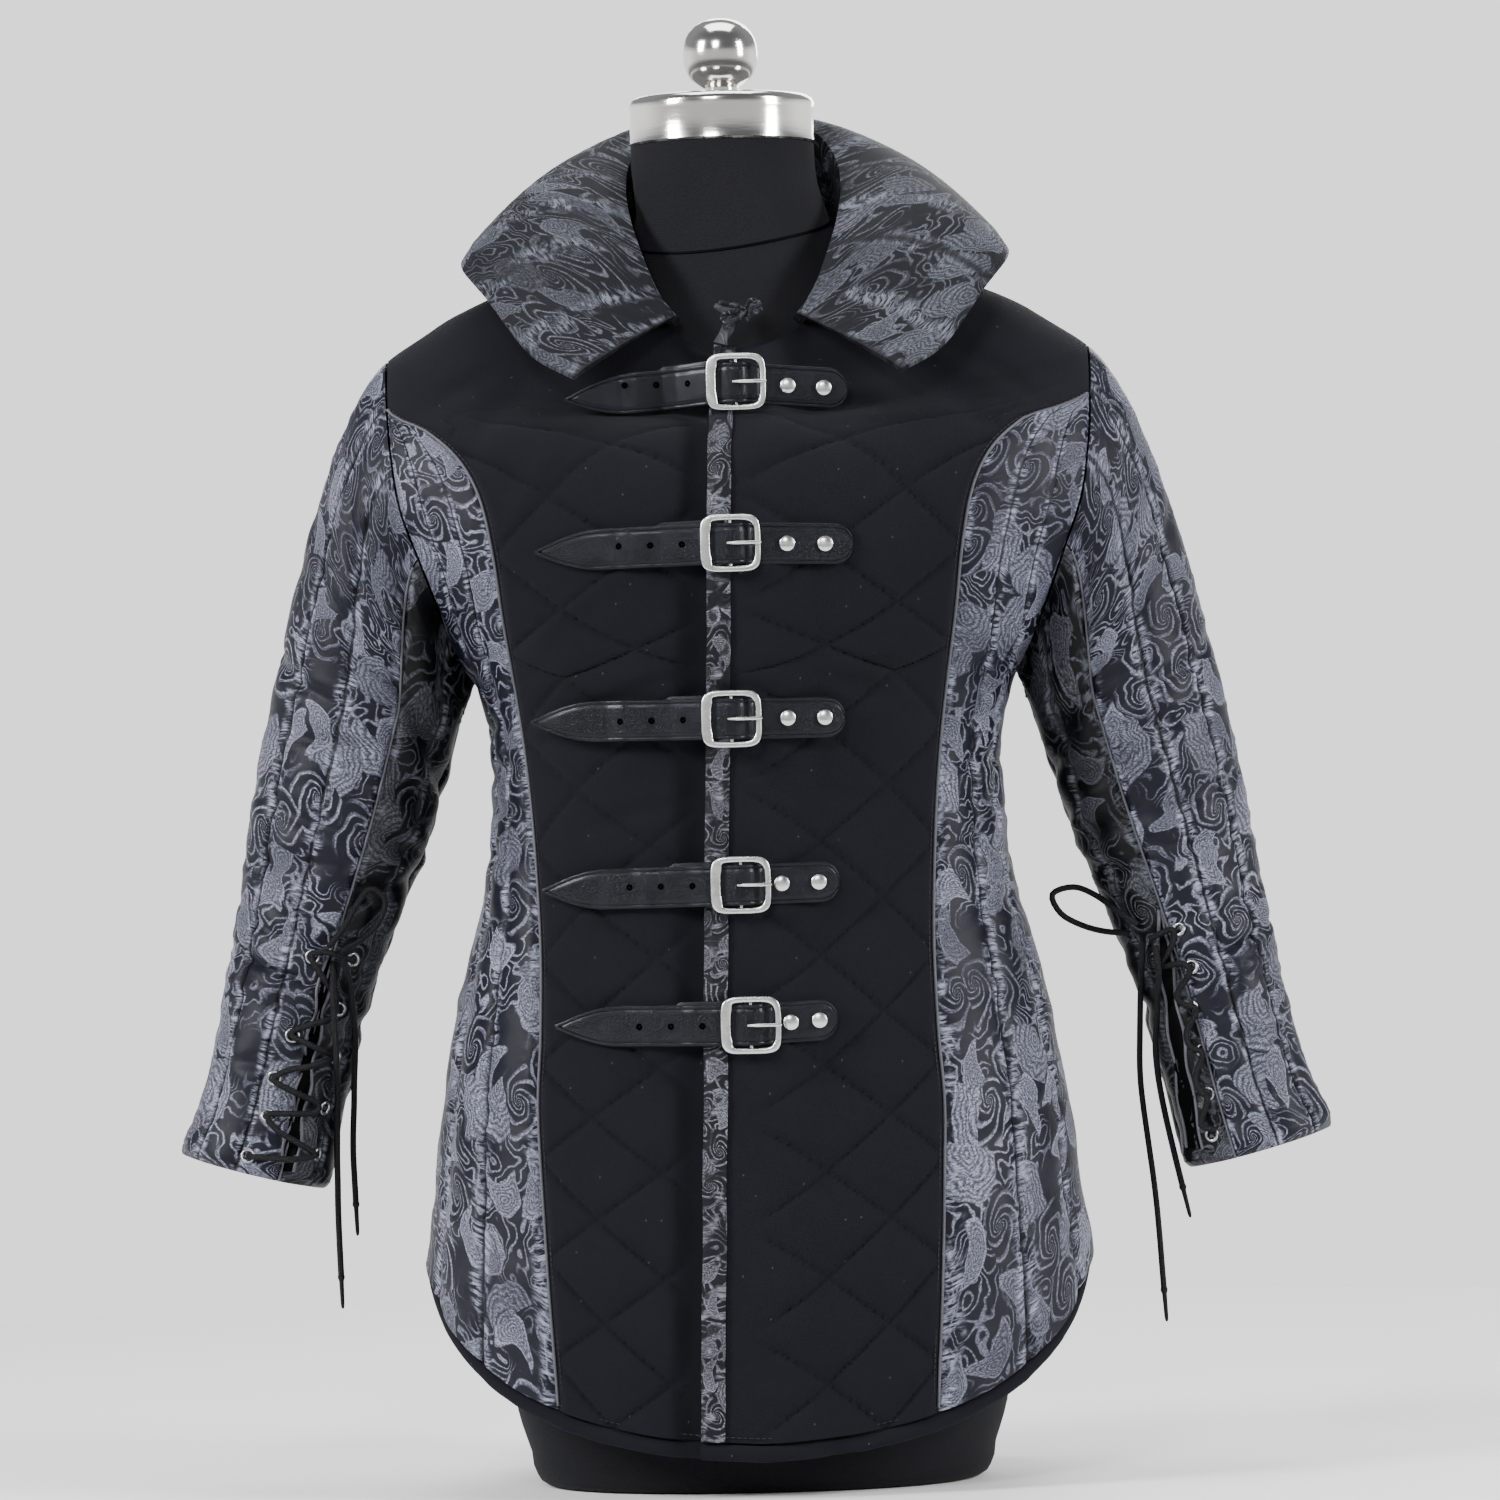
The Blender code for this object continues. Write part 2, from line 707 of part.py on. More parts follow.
def collar_normal(place, line):
    step = 0.02
    last = COLLAR_STAND_LINES + COLLAR_FALL_LINES
    before, after = max(place - step, -1), min(place + step, 1)
    across = collar_point(after, line) - collar_point(before, line)
    low, high = max(line - 0.5, 0), min(line + 0.5, last)
    along = collar_point(place, high) - collar_point(place, low)
    return along.cross(across).normalized()


def collar_mesh():
    """The collar's wall: its seen face is the inside of the stand and the top of the fall."""
    lines = COLLAR_STAND_LINES + COLLAR_FALL_LINES + 1
    outer = []
    inner = {}
    for line in range(lines):
        points = []
        for column in range(COLLAR_COLUMNS + 1):
            place = 2 * column / COLLAR_COLUMNS - 1
            point = collar_point(place, line)
            normal = collar_normal(place, line)
            swell = COLLAR_RISE * (column % 2) * ease(0, 2, line) * (line < lines - 1)
            points.append(point + normal * swell)
            inner[line, column] = point - normal * COLLAR_WALL
        outer.append(points)
    return wall_mesh(outer, lambda r, c: inner[r, c],
                     kept(COLLAR_COLUMNS + 1, 2), kept(lines, 2))


def strip_mesh():
    """The brocade binding that lies on the lapped edge of the left front."""
    lift, thick, width = 1.0, 1.4, 16.0
    outer = []
    inner = {}
    rows = [row for row in range(ROWS) if row % 2 == 0 or row > ARMHOLE_FIRST]
    for line, row in enumerate(rows):
        points = []
        level = row_level(row, 0.0)
        edge = read(LAP_EDGE, level)[0]
        for column in range(3):
            x = edge + 0.6 + width * column / 2
            angle = angle_at(x, level)
            height = row_level(row, angle)
            base = coat_point(angle, height)
            normal = coat_normal(angle, height)
            stand = lap_lift(base.x) + lift
            points.append(base + normal * (stand + thick))
            inner[line, column] = base + normal * stand
        outer.append(points)
    return wall_mesh(outer, lambda r, c: inner[r, c], (0, 2), kept(len(rows), 1))


# The tie at the neck: a twisted stem from the strip's top and a bar of two ends, x, y, z, radius
TIE_STEM = ((-11, -87.5, 789.3, 5.5), (-9, -86, 796, 4.5), (-6, -84, 801, 5.5), (-2, -83, 806, 4.5),
            (2, -82, 811, 5))
TIE_ENDS = ((-15, -82, 816, 2.2), (-8, -83, 812, 3.6), (2, -84, 810, 4.6), (10, -83, 814, 3.6),
            (17, -82, 818, 2.2))


def twisted(places, sides=6, turn=0.7):
    rings = []
    for index, (x, y, z, radius) in enumerate(places):
        before = places[max(index - 1, 0)]
        after = places[min(index + 1, len(places) - 1)]
        along = Vector((after[0] - before[0], after[1] - before[1], after[2] - before[2])).normalized()
        ahead = Vector((0, -1, 0))
        side = along.cross(ahead).normalized()
        ring = []
        for s in range(sides):
            angle = 2 * math.pi * s / sides + turn * index
            squash = 1.0 if s % 2 else 0.8
            ring.append(Vector((x, y, z)) + (side * math.cos(angle)
                                             + ahead * math.sin(angle) * 0.8) * radius * squash)
        rings.append(ring)
    return loft(rings)


def hem_mesh(angles_at_hem, face):
    """The bound roll below a stretch of the hem; face gives its inner and outer stand."""
    rings = []
    for angle in angles_at_hem:
        top = hem_height(angle) - 1.4
        low = hem_height(angle) - HEM_BAND
        ring = []
        base = coat_point(angle, top)
        normal = coat_normal(angle, top + 6)
        inside, outside = face(base)
        for share, depth in ((0, 0), (0.18, 1), (0.5, 1.25), (0.85, 1), (1, 0.5), (0.85, 0)):
            stand = mix(inside, outside, depth) if depth <= 1 else outside + 1.6
            point = base + normal * stand
            point.z = mix(top, low, share)
            ring.append(point)
        rings.append(ring)
    return loft(rings)


def tree_of(*tools):
    """A ray-casting tree of meshes that are still in millimetres."""
    points = []
    faces = []
    for tool in tools:
        tool.verts.index_update()
        offset = len(points)
        points += [vert.co.copy() for vert in tool.verts]
        faces += [[offset + vert.index for vert in face.verts] for face in tool.faces]
    return BVHTree.FromPolygons(points, faces)


AHEAD = -400.0


def face_y(tree, x, z, otherwise=None):
    hit = tree.ray_cast(Vector((x, AHEAD, z)), Vector((0, 1, 0)))[0]
    return otherwise if hit is None else hit.y


# Straps: height at the tip, buckle and riveted end; x of the tip, buckle, end and two rivets;
# and how far the strap is pressed back where the chest slopes away
STRAPS = (
    (752, 761, 755, -119, -1.5, 75, 34, 58.6, 2.4),
    (647.5, 650, 648, -141, -7.8, 75.5, 30.7, 56.6, 0),
    (532, 531, 530.6, -147, -10, 67, 28.5, 53.7, 0),
    (416.5, 418, 419, -142, -6.4, 60.7, 21.6, 46.8, 0),
    (324, 323, 325.5, -135, -1.8, 57, 25.5, 45, 0),
)
STRAP_WIDTH = 28.0
STRAP_THICK = 2.3
STRAP_TAPER = 44.0
REST_GAP = 0.5
CHAPE_LENGTH = 62.0
CHAPE_THICK = 2.0
CHAPE_STAND = 0.5
STRAP_STATIONS = 20
BUCKLE_HALF = (20.5, 19.5)
BUCKLE_BAR = 4.2
BUCKLE_DEEP = 3.2


class Strap:
    """One strap with its buckle, set on the fronts by casting rays on them."""

    def __init__(self, row, tree):
        (self.z_tip, self.z_buckle, self.z_end, self.x_tip, self.x_buckle, self.x_end,
         self.x_rivet, self.x_second, self.press) = row
        self.tree = tree
        self.grounds = {}

    def height(self, x):
        if x < self.x_buckle:
            return mix(self.z_buckle, self.z_tip, (self.x_buckle - x) / (self.x_buckle - self.x_tip))
        return mix(self.z_buckle, self.z_end, (x - self.x_buckle) / (self.x_end - self.x_buckle))

    def foremost(self, x):
        """The foremost point of the cloth in a window of the strap round x."""
        z = self.height(x)
        ys = [face_y(self.tree, x + dx, z + dz)
              for dx in (-13, -10, -7, -3.5, 0, 3.5, 7, 10, 13) for dz in (-16, -8, 0, 8, 16)]
        return min(y for y in ys if y is not None)

    def ground(self, x):
        """A smooth line that stays in front of the cloth under the strap."""
        if x not in self.grounds:
            near = [self.foremost(x + dx) for dx in (-12, -6, 0, 6, 12)]
            self.grounds[x] = sum(near) / len(near) - REST_GAP + self.press
        return self.grounds[x]

    def frame_back(self):
        """The buckle's back face stands clear of the strap's two sides."""
        near = min(self.strap_back(self.x_buckle + dx, False)
                   for dx in (-24, -18.5, -13, 13, 18.5, 24))
        return min(near - STRAP_THICK - REST_GAP, self.ground(self.x_buckle) - 3.2)

    def strap_back(self, x, bump=True):
        y = self.ground(x)
        if x < self.x_buckle + 10 and x > self.x_buckle - CHAPE_LENGTH - 12:
            y -= CHAPE_STAND + CHAPE_THICK + 2 * REST_GAP
        if bump:
            over = self.frame_back() - 0.6 - REST_GAP
            share = 1 - ease(4, 12, abs(x - self.x_buckle))
            y = mix(y, min(over, y), share)
        return y


def flat_band(stations, thick):
    """A band through stations of x, back y, middle height and half width."""
    rings = []
    for index, (x, y, z, half) in enumerate(stations):
        before = stations[max(index - 1, 0)]
        after = stations[min(index + 1, len(stations) - 1)]
        along = Vector((after[0] - before[0], after[1] - before[1], 0)).normalized()
        out = Vector((along.y, -along.x, 0)) * thick
        low = Vector((x, y, z - half))
        high = Vector((x, y, z + half))
        rings.append([low, high, high + out, low + out])
    return loft(rings)


def strap_places(strap):
    """Places along the strap, closer together at the buckle."""
    near = (-24, -18.5, -13, -8, -4, 4, 8, 13, 18.5, 24)
    places = [strap.x_buckle + dx for dx in near]
    count = STRAP_STATIONS
    for index in range(count + 1):
        x = mix(strap.x_tip, strap.x_end, index / count)
        if abs(x - strap.x_buckle) > 30:
            places.append(x)
    return sorted(places)


def strap_mesh(strap):
    stations = []
    for x in strap_places(strap):
        from_tip = x - strap.x_tip
        from_end = strap.x_end - x
        taper = math.sin(math.pi / 2 * min(1, from_tip / STRAP_TAPER))
        half = STRAP_WIDTH / 2 * mix(0.08, 1, taper)
        if from_end < 9:
            half *= math.sqrt(max(0.25, 1 - ((9 - from_end) / 12) ** 2))
        stations.append((x, strap.strap_back(x), strap.height(x), half))
    return flat_band(stations, STRAP_THICK)


def chape_mesh(strap):
    start = strap.x_buckle - CHAPE_LENGTH
    end = strap.x_buckle - 3.6
    places = [x for x in strap_places(strap) if start < x < end - 3] + [end]
    stations = []
    for index, x in enumerate(places):
        half = (STRAP_WIDTH / 2 + 1.2) * min(1, 0.6 + index * 0.4)
        stations.append((x, strap.ground(x) - CHAPE_STAND, strap.height(x) + 1.2, half))
    return flat_band(stations, CHAPE_THICK)


def rounded_frame(half_x, half_z, corner, count):
    """Points round a rectangle with round corners, as unit offsets from its middle."""
    points = []
    per_corner = count // 4
    for quarter in range(4):
        middle = math.pi / 2 * quarter
        for step in range(per_corner):
            angle = middle + math.pi / 2 * step / (per_corner - 1)
            sx = 1 if quarter in (0, 3) else -1
            sz = 1 if quarter in (0, 1) else -1
            points.append((sx * (half_x - corner) + corner * math.cos(angle),
                           sz * (half_z - corner) + corner * math.sin(angle)))
    return points


def union(name, first, second, material):
    """One solid from two that cross."""
    base = make_object(name, first, material)
    other = make_object(name + "_cut", second, material)
    tool = base.modifiers.new("join", "BOOLEAN")
    tool.operation = "UNION"
    tool.object = other
    graph = bpy.context.evaluated_depsgraph_get()
    joined = bpy.data.meshes.new_from_object(base.evaluated_get(graph))
    base.modifiers.clear()
    base.data = joined
    joined.name = name
    bpy.data.objects.remove(other, do_unlink=True)
    return base


def buckle_tools(strap):
    back = strap.frame_back()
    outer = rounded_frame(*BUCKLE_HALF, 9, 12)
    inner = rounded_frame(BUCKLE_HALF[0] - BUCKLE_BAR, BUCKLE_HALF[1] - BUCKLE_BAR, 5, 12)
    tool = bmesh.new()
    loops = []
    for points, depth in ((outer, 0.5), (outer, BUCKLE_DEEP - 0.9), (None, BUCKLE_DEEP),
                          (inner, BUCKLE_DEEP - 0.9), (inner, 0.5), (None, 0)):
        if points is None:
            points = [((a[0] + b[0]) / 2, (a[1] + b[1]) / 2) for a, b in zip(outer, inner)]
        loops.append([tool.verts.new((strap.x_buckle + px, back - depth, strap.z_buckle + pz))
                      for px, pz in points])
    count = len(outer)
    for low, high in zip(loops, loops[1:] + loops[:1]):
        for c in range(count):
            tool.faces.new((low[c], low[(c + 1) % count], high[(c + 1) % count], high[c]))
    bar = bmesh.new()
    bmesh.ops.create_cube(bar, size=1)
    reach = 2 * BUCKLE_HALF[1] - BUCKLE_BAR
    bmesh.ops.scale(bar, vec=(3, 3, reach), verts=bar.verts)
    bmesh.ops.translate(bar, vec=(strap.x_buckle, back + 0.9, strap.z_buckle), verts=bar.verts)
    return tool, bar


def rod(points, radius, sides=6):
    """A closed rod along a path that runs mostly in x and y."""
    rings = []
    for index, point in enumerate(points):
        before = points[max(index - 1, 0)]
        after = points[min(index + 1, len(points) - 1)]
        along = (after - before).normalized()
        side = along.cross(Vector((0, 0, 1)))
        if side.length < 0.1:
            side = Vector((1, 0, 0))
        side.normalize()
        up = side.cross(along)
        size = radius * (0.6 if index in (0, len(points) - 1) else 1)
        rings.append([point + (side * math.cos(2 * math.pi * s / sides)
                               + up * math.sin(2 * math.pi * s / sides)) * size
                      for s in range(sides)])
    return loft(rings)


def prong_mesh(strap):
    radius = 1.4
    over = strap.strap_back(strap.x_buckle) - STRAP_THICK - REST_GAP - radius
    tip = strap.frame_back() - BUCKLE_DEEP - REST_GAP - radius
    top = min(over, tip)
    places = ((-2.5, over), (4, min(over, top)), (12, top), (17, tip), (21, tip + 0.2))
    return rod([Vector((strap.x_buckle + dx, y, strap.z_buckle)) for dx, y in places], radius)


def rivet_mesh(x, strap, strap_tree):
    z = strap.height(x)
    radius = 5.2
    seat = min(face_y(strap_tree, x + dx, z + dz) for dx, dz in
               ((0, 0), (radius, 0), (-radius, 0), (0, radius), (0, -radius))) - REST_GAP
    rings = []
    for size, depth in ((radius, 0), (radius, 0.8), (radius * 0.6, 2.3)):
        rings.append([Vector((x + size * math.cos(math.pi * s / 4), seat - depth,
                              z + size * math.sin(math.pi * s / 4))) for s in range(8)])
    return loft(rings)


# Laces: half their thickness, and routes as x and z seen from the front
LACE_RADIUS = 2.2
LACE_STAND = 0.05
# Two routes that would stand off the curve of the sleeve are pressed back a little
LACE_PRESS = {"lace_loop_l": 0.5, "lace_end_l_a": 0.4}
LACE_ROUTES = {
    "lacing_r": ((-277, 371), (-305, 377), (-287, 336), (-320, 322), (-291, 303), (-333, 292),
                 (-298, 268), (-340, 264), (-305, 236), (-352, 238)),
    "lace_loop_r": ((-292, 381), (-281, 395), (-271, 412), (-260, 421), (-253, 412), (-258, 397),
                    (-270, 385), (-284, 377)),
    "lace_end_r_a": ((-283, 372), (-279, 355), (-277, 320), (-279, 280), (-281, 240), (-280, 200)),
    "lace_end_r_b": ((-290, 370), (-290, 345), (-289, 300), (-291, 250), (-292, 200), (-291, 150)),
    "lacing_l": ((275, 372), (296, 378), (283, 352), (305, 355), (290, 326), (308, 328),
                 (296, 298), (311, 298), (302, 267), (314, 268), (307, 240), (318, 239)),
    "lace_loop_l": ((268, 382), (255, 391), (238, 404), (220, 409), (208, 400), (222, 386),
                    (243, 378), (262, 376)),
    "lace_end_l_a": ((271, 370), (270, 352), (269, 320), (268, 276), (272, 235), (277, 190),
                     (281, 127)),
    "lace_end_l_b": ((279, 368), (281, 350), (280, 322), (279, 290), (284, 255), (290, 225),
                     (296, 198)),
}


def smooth_route(points, spacing):
    """Points at an even spacing on a smooth curve through the route's own points."""
    table = [(index, *point) for index, point in enumerate(points)]
    dense = [Vector(read(table, i / 20)) for i in range(20 * (len(points) - 1) + 1)]
    length = sum((b - a).length for a, b in zip(dense, dense[1:]))
    count = max(int(length / spacing), 4)
    chosen = [dense[0]]
    walked = 0.0
    for a, b in zip(dense, dense[1:]):
        walked += (b - a).length
        if walked >= length * len(chosen) / count and len(chosen) < count:
            chosen.append(b)
    chosen.append(dense[-1])
    return chosen


def lace_points(route, tree, press):
    """The route laid on what is behind it, kept in front of it between its points too."""
    line = smooth_route([(x, 0.0, z) for x, z in route], 16.0)
    near = [(reach * math.cos(turn), reach * math.sin(turn))
            for reach in (1.2, 2.5) for turn in (0, 1, 2, 3, 4, 5)]

    def foremost(point, before):
        ys = [face_y(tree, point.x + dx, point.z + dz) for dx, dz in near]
        found = [y for y in ys if y is not None]
        return min(found) if found else before

    middles = [[a.lerp(b, share) for share in (0.25, 0.5, 0.75)] for a, b in zip(line, line[1:])]
    at_points = []
    for point in line:
        at_points.append(foremost(point, at_points[-1] if at_points else -60.0))
    between = [min(foremost(point, at_points[i]) for point in run)
               for i, run in enumerate(middles)]
    points = []
    for i, point in enumerate(line):
        beside = [at_points[i]] + between[max(i - 1, 0):i + 1]
        points.append(Vector((point.x, min(beside) - LACE_RADIUS - LACE_STAND + press, point.z)))
    return points


def lace_object(name, points, material):
    curve = bpy.data.curves.new(name, "CURVE")
    curve.dimensions = "3D"
    curve.bevel_depth = LACE_RADIUS * MM
    curve.bevel_resolution = 2
    curve.use_fill_caps = True
    spline = curve.splines.new("POLY")
    spline.points.add(len(points) - 1)
    for target, point in zip(spline.points, points):
        target.co = (*(point * MM), 1)
    curve.materials.append(material)
    made = bpy.data.objects.new(name, curve)
    bpy.context.scene.collection.objects.link(made)
    return made


def clear_scene():
    for item in list(bpy.data.objects):
        bpy.data.objects.remove(item, do_unlink=True)


def main():
    clear_scene()
    black = coat_material("black_cotton", (0.012, 0.012, 0.016), 0.9)
    brocade = coat_material("brocade", (0.1, 0.1, 0.12), 0.6)
    jersey = coat_material("form_jersey", (0.02, 0.02, 0.026), 0.85)
    chrome = coat_material("chrome", (0.75, 0.74, 0.72), 0.15, 1.0)
    leather = coat_material("black_leather", (0.015, 0.015, 0.02), 0.45)
    steel = coat_material("buckle_steel", (0.7, 0.7, 0.7), 0.25, 1.0)
    lace = coat_material("black_lace", (0.01, 0.01, 0.012), 0.6)

    right = front_panel(-1)
    left = front_panel(1)
    back = back_panel()
    strip = strip_mesh()
    fronts = tree_of(right.tool, left.tool, strip)
    for number, row in enumerate(STRAPS, 1):
        strap = Strap(row, fronts)
        band = strap_mesh(strap)
        on_band = tree_of(band)
        frame, bar = buckle_tools(strap)
        union("buckle_%d" % number, frame, bar, steel)
        make_object("prong_%d" % number, prong_mesh(strap), steel, True)
        make_object("rivet_%d_a" % number, rivet_mesh(strap.x_rivet, strap, on_band), steel, True)
        make_object("rivet_%d_b" % number, rivet_mesh(strap.x_second, strap, on_band), steel, True)
        make_object("chape_%d" % number, chape_mesh(strap), leather)
        make_object("strap_%d" % number, band, leather)
    union("neck_tie", twisted(TIE_STEM), twisted(TIE_ENDS), brocade)
    hem_row = {"hem_front_r": (right.angles[0], lambda base: (
                   -WALL, -LAP_PRESS * lap_press(base.x, base.z))),
               "hem_front_l": (left.angles[0], lambda base: (
                   lap_lift(base.x) - WALL, lap_lift(base.x)))}
    for side, name in ((-1, "hem_front_r"), (1, "hem_front_l")):
        angles, face = hem_row[name]
        beside = side_panel(side, False).angles[0]
        ends = (angles[0], angles[-1]) if side > 0 else (angles[-1], angles[0])
        front_run = angles if side > 0 else angles[::2] + [angles[-1]]
        run = sorted(set(list(front_run) + list(beside[::2]) + list(ends)))
        make_object(name, hem_mesh(run, face), black)
    behind = sorted(side_panel(1, True).angles[0][::2] + back.angles[0][::2]
                    + [angle + 2 * math.pi for angle in side_panel(-1, True).angles[0][::2]])
    make_object("hem_back", hem_mesh(behind, lambda base: (-WALL, 0.0)), black)
    make_object("front_edge_strip", strip, brocade)
    make_object("front_right", right.tool, black)
    make_object("front_left", left.tool, black)
    make_object("back", back.tool, black)
    make_object("collar", collar_mesh(), brocade)

    sleeves = []
    for side, letter in ((-1, "r"), (1, "l")):
        make_object("side_front_" + letter, side_panel(side, False).tool, brocade)
        make_object("side_back_" + letter, side_panel(side, True).tool, brocade)
        under = sleeve_part(side, FRONT_SLEEVE_SEAM, SLEEVE_COLUMNS - FRONT_SLEEVE_SEAM)
        top = sleeve_part(side, SLEEVE_COLUMNS - FRONT_SLEEVE_SEAM,
                          SLEEVE_COLUMNS + FRONT_SLEEVE_SEAM)
        sleeves += [under, top]
    behind_laces = list(sleeves)
    for name, route in LACE_ROUTES.items():
        points = lace_points(route, tree_of(*behind_laces), LACE_PRESS.get(name, 0.0))
        lace_object(name, points, lace)
        behind_laces.append(rod(points, LACE_RADIUS, 8))
    for tool, name in zip(sleeves, ("undersleeve_r", "topsleeve_r", "undersleeve_l", "topsleeve_l")):
        make_object(name, tool, brocade)

    make_object("form_torso", loft(form_rings()), jersey, True)
    cap = [round_ring(height, radius, 0, FORM_COLUMNS, NECK_X) for height, radius in NECK_CAP]
    make_object("neck_cap", loft(cap), chrome, True)
    knob = [round_ring(height, radius, 0, 14, NECK_X) for height, radius in KNOB]
    make_object("neck_knob", loft(knob), chrome, True)


main()
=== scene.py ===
"""A quilted coat with brocade sleeves on a dress form, dressed for a photograph.

The coat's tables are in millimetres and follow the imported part's own surfaces. Its front
faces -Y, and +X is the wearer's left.
"""
import math

import bmesh
import bpy
import numpy as np
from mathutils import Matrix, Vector
from mathutils.bvhtree import BVHTree


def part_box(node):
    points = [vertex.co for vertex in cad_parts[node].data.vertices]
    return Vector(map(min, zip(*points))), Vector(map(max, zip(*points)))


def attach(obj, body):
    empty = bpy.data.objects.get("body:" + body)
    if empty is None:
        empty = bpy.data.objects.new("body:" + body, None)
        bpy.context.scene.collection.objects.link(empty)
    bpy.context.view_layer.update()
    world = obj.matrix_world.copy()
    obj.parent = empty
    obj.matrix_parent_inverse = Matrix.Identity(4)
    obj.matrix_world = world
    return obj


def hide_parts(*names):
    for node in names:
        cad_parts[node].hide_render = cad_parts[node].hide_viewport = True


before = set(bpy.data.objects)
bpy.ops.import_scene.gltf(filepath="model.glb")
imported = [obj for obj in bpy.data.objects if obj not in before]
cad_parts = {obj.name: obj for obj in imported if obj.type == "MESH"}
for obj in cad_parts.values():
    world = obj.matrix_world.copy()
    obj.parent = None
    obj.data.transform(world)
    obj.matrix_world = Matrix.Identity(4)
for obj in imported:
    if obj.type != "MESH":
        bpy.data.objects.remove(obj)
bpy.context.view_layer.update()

MM = 0.001
THREAD_RADIUS = 0.3 * MM
# How far eyelets and the neck seam stand off or sink in
SKIN = 0.6 * MM
# Radii of the cords in the piping, in metres
SEAM_CORD = 0.0011
SLEEVE_CORD = 0.0009
SLIT_CORD = 0.0012
NECK_CORD = 0.0013
# Rings in metres: the radius of the ring and of its wire
EYELET_RING = (0.0042, 0.0012)
HOLE_RING = (0.0013, 0.0012)
# Stitches in metres: their spacing and length
HEM_STITCH = (0.0042, 0.0028)
SEAM_STITCH = (0.0040, 0.0026)
SIDES = ((-1, "r"), (1, "l"))
WALL = 6.0
SEAM_GAP = 0.5
# The quilting's pillows, the channels, and the dips, ripples and puckers at their stitch lines
QUILT_RISE = 3.68
QUILT_SQUARE = 0.42
QUILT_DIP = 1.5
QUILT_WRINKLE = 0.45
CHANNEL_RISE = 4.0
CHANNEL_RIPPLE = 1.1
CHANNEL_PUCKER = 1.4
CHANNEL_DIP = 1.3
# How far below its base the outside of a wall goes, at creases and stitches
DEEPEST = -4.6

SKIRT_TOP = 330.0
UNDERARM = 562.0
SEAM_AT_ARMHOLE = 764.0
SHOULDER_TIP = 790.0
NECKLINE = 870.0
NECK_DROP_FROM = 700.0
FRONT_NECK_DROP = 88.0
SKIRT_ROWS = 16
WAIST_ROWS = 12
ARMHOLE_ROWS = 15
SHOULDER_ROWS = 5
RING_POWER = 2.3

# The coat's level rings: height, half width, front face, back face
COAT_RINGS = (
    (20, 236, -150, 155), (100, 235, -150, 155), (150, 231, -149, 155), (200, 223.5, -147, 153),
    (250, 218, -144, 150), (300, 210, -141, 146), (350, 200, -136, 140), (400, 186.5, -131, 132),
    (440, 179, -128, 126), (475, 176, -127, 121), (510, 175, -129, 119), (545, 181, -134, 120),
    (562, 188, -138, 121), (600, 215, -145, 125), (640, 250, -148, 129), (680, 272, -144, 132),
    (720, 278, -134, 132), (755, 268, -120, 127), (780, 252, -108, 119), (790, 245, -104, 116),
    (812, 214, -99, 108), (825, 192, -95, 103), (838, 162, -91, 98), (850, 128, -87, 93),
    (860, 101, -82, 88), (870, 84, -76, 82),
)
# The armhole seam seen from the front: height, distance from the middle
ARMHOLE_SEAM = (
    (562, 188), (580, 198), (600, 207), (640, 221), (680, 235),
    (720, 241), (755, 243.5), (780, 245), (790, 245),
)
# The long front and back seams: height, distance from the coat's middle line
PRINCESS_SEAM = (
    (20, 128), (60, 129), (100, 131), (171, 135), (265, 139), (320, 136), (380, 135),
    (450, 138), (500, 142), (550, 148), (600, 155), (650, 161), (690, 170), (720, 187),
    (745, 211), (764, 238),
)
COAT_MIDDLE = -10.0
HEM_LINE = (
    (0, 26), (15, 32), (30, 46), (45, 68), (55, 87), (65, 108), (75, 130), (82, 141), (90, 147),
)
HEM_BAND = 13.0
LAP_EDGE = ((20, -43), (779, -20), (870, -17))
UNDERLAP_END = 8.0
LAP_LIFT = 7.4
LAP_PRESS = 2.4
LAP_PRESS_FROM = 24
LAP_PRESS_TO = 3
BINDING_WIDTH = 16.0
FRONT_COLUMNS = 6
BACK_COLUMNS = 12
SIDE_COLUMNS = 6

# Sleeve rings below the cap: height, distance from the middle, y, half width, half depth
SLEEVE_RINGS = (
    (545, 266, 0, 64, 66), (475, 284, 1, 61, 61), (405, 303, -2, 53, 54),
    (335, 321, -8, 47.5, 49), (265, 338.5, -16, 47.5, 47), (225, 351, -20, 52.5, 50),
)
SLEEVE_AXIS = np.array((0.26, 0, -0.966))
CAP_RINGS = 5
CAP_PULL = 0.6
SLEEVE_LINES = CAP_RINGS + len(SLEEVE_RINGS) - 1
ARMHOLE_MIDDLE = (225, 3, 680)
SLEEVE_COLUMNS = 2 * ARMHOLE_ROWS
FRONT_SLEEVE_SEAM = 9
SLEEVE_CHANNEL = 3
# Millimetres of cloth to a step round the sleeve, and from its outer side to its inner side
SLEEVE_STEP = 11.5
SLEEVE_MIDDLE = 172
# The cuff's stitched line, above the edge
CUFF_STITCH = 7

# The form's faces: height, how far in from the coat at the side and at front and back
FORM_INSETS = (
    (20, 74, 38), (55, 62, 36), (100, 57, 34), (150, 50, 31), (200, 42, 28), (250, 37, 25),
    (300, 32, 23), (350, 27, 20), (400, 21, 18), (475, 14, 15), (545, 13, 13), (620, 22, 11),
    (700, 40, 11), (760, 30, 11), (800, 18, 8), (870, 9, 9),
)
FORM_DROP = 8.5
FORM_ARM_PLATE = 196.0
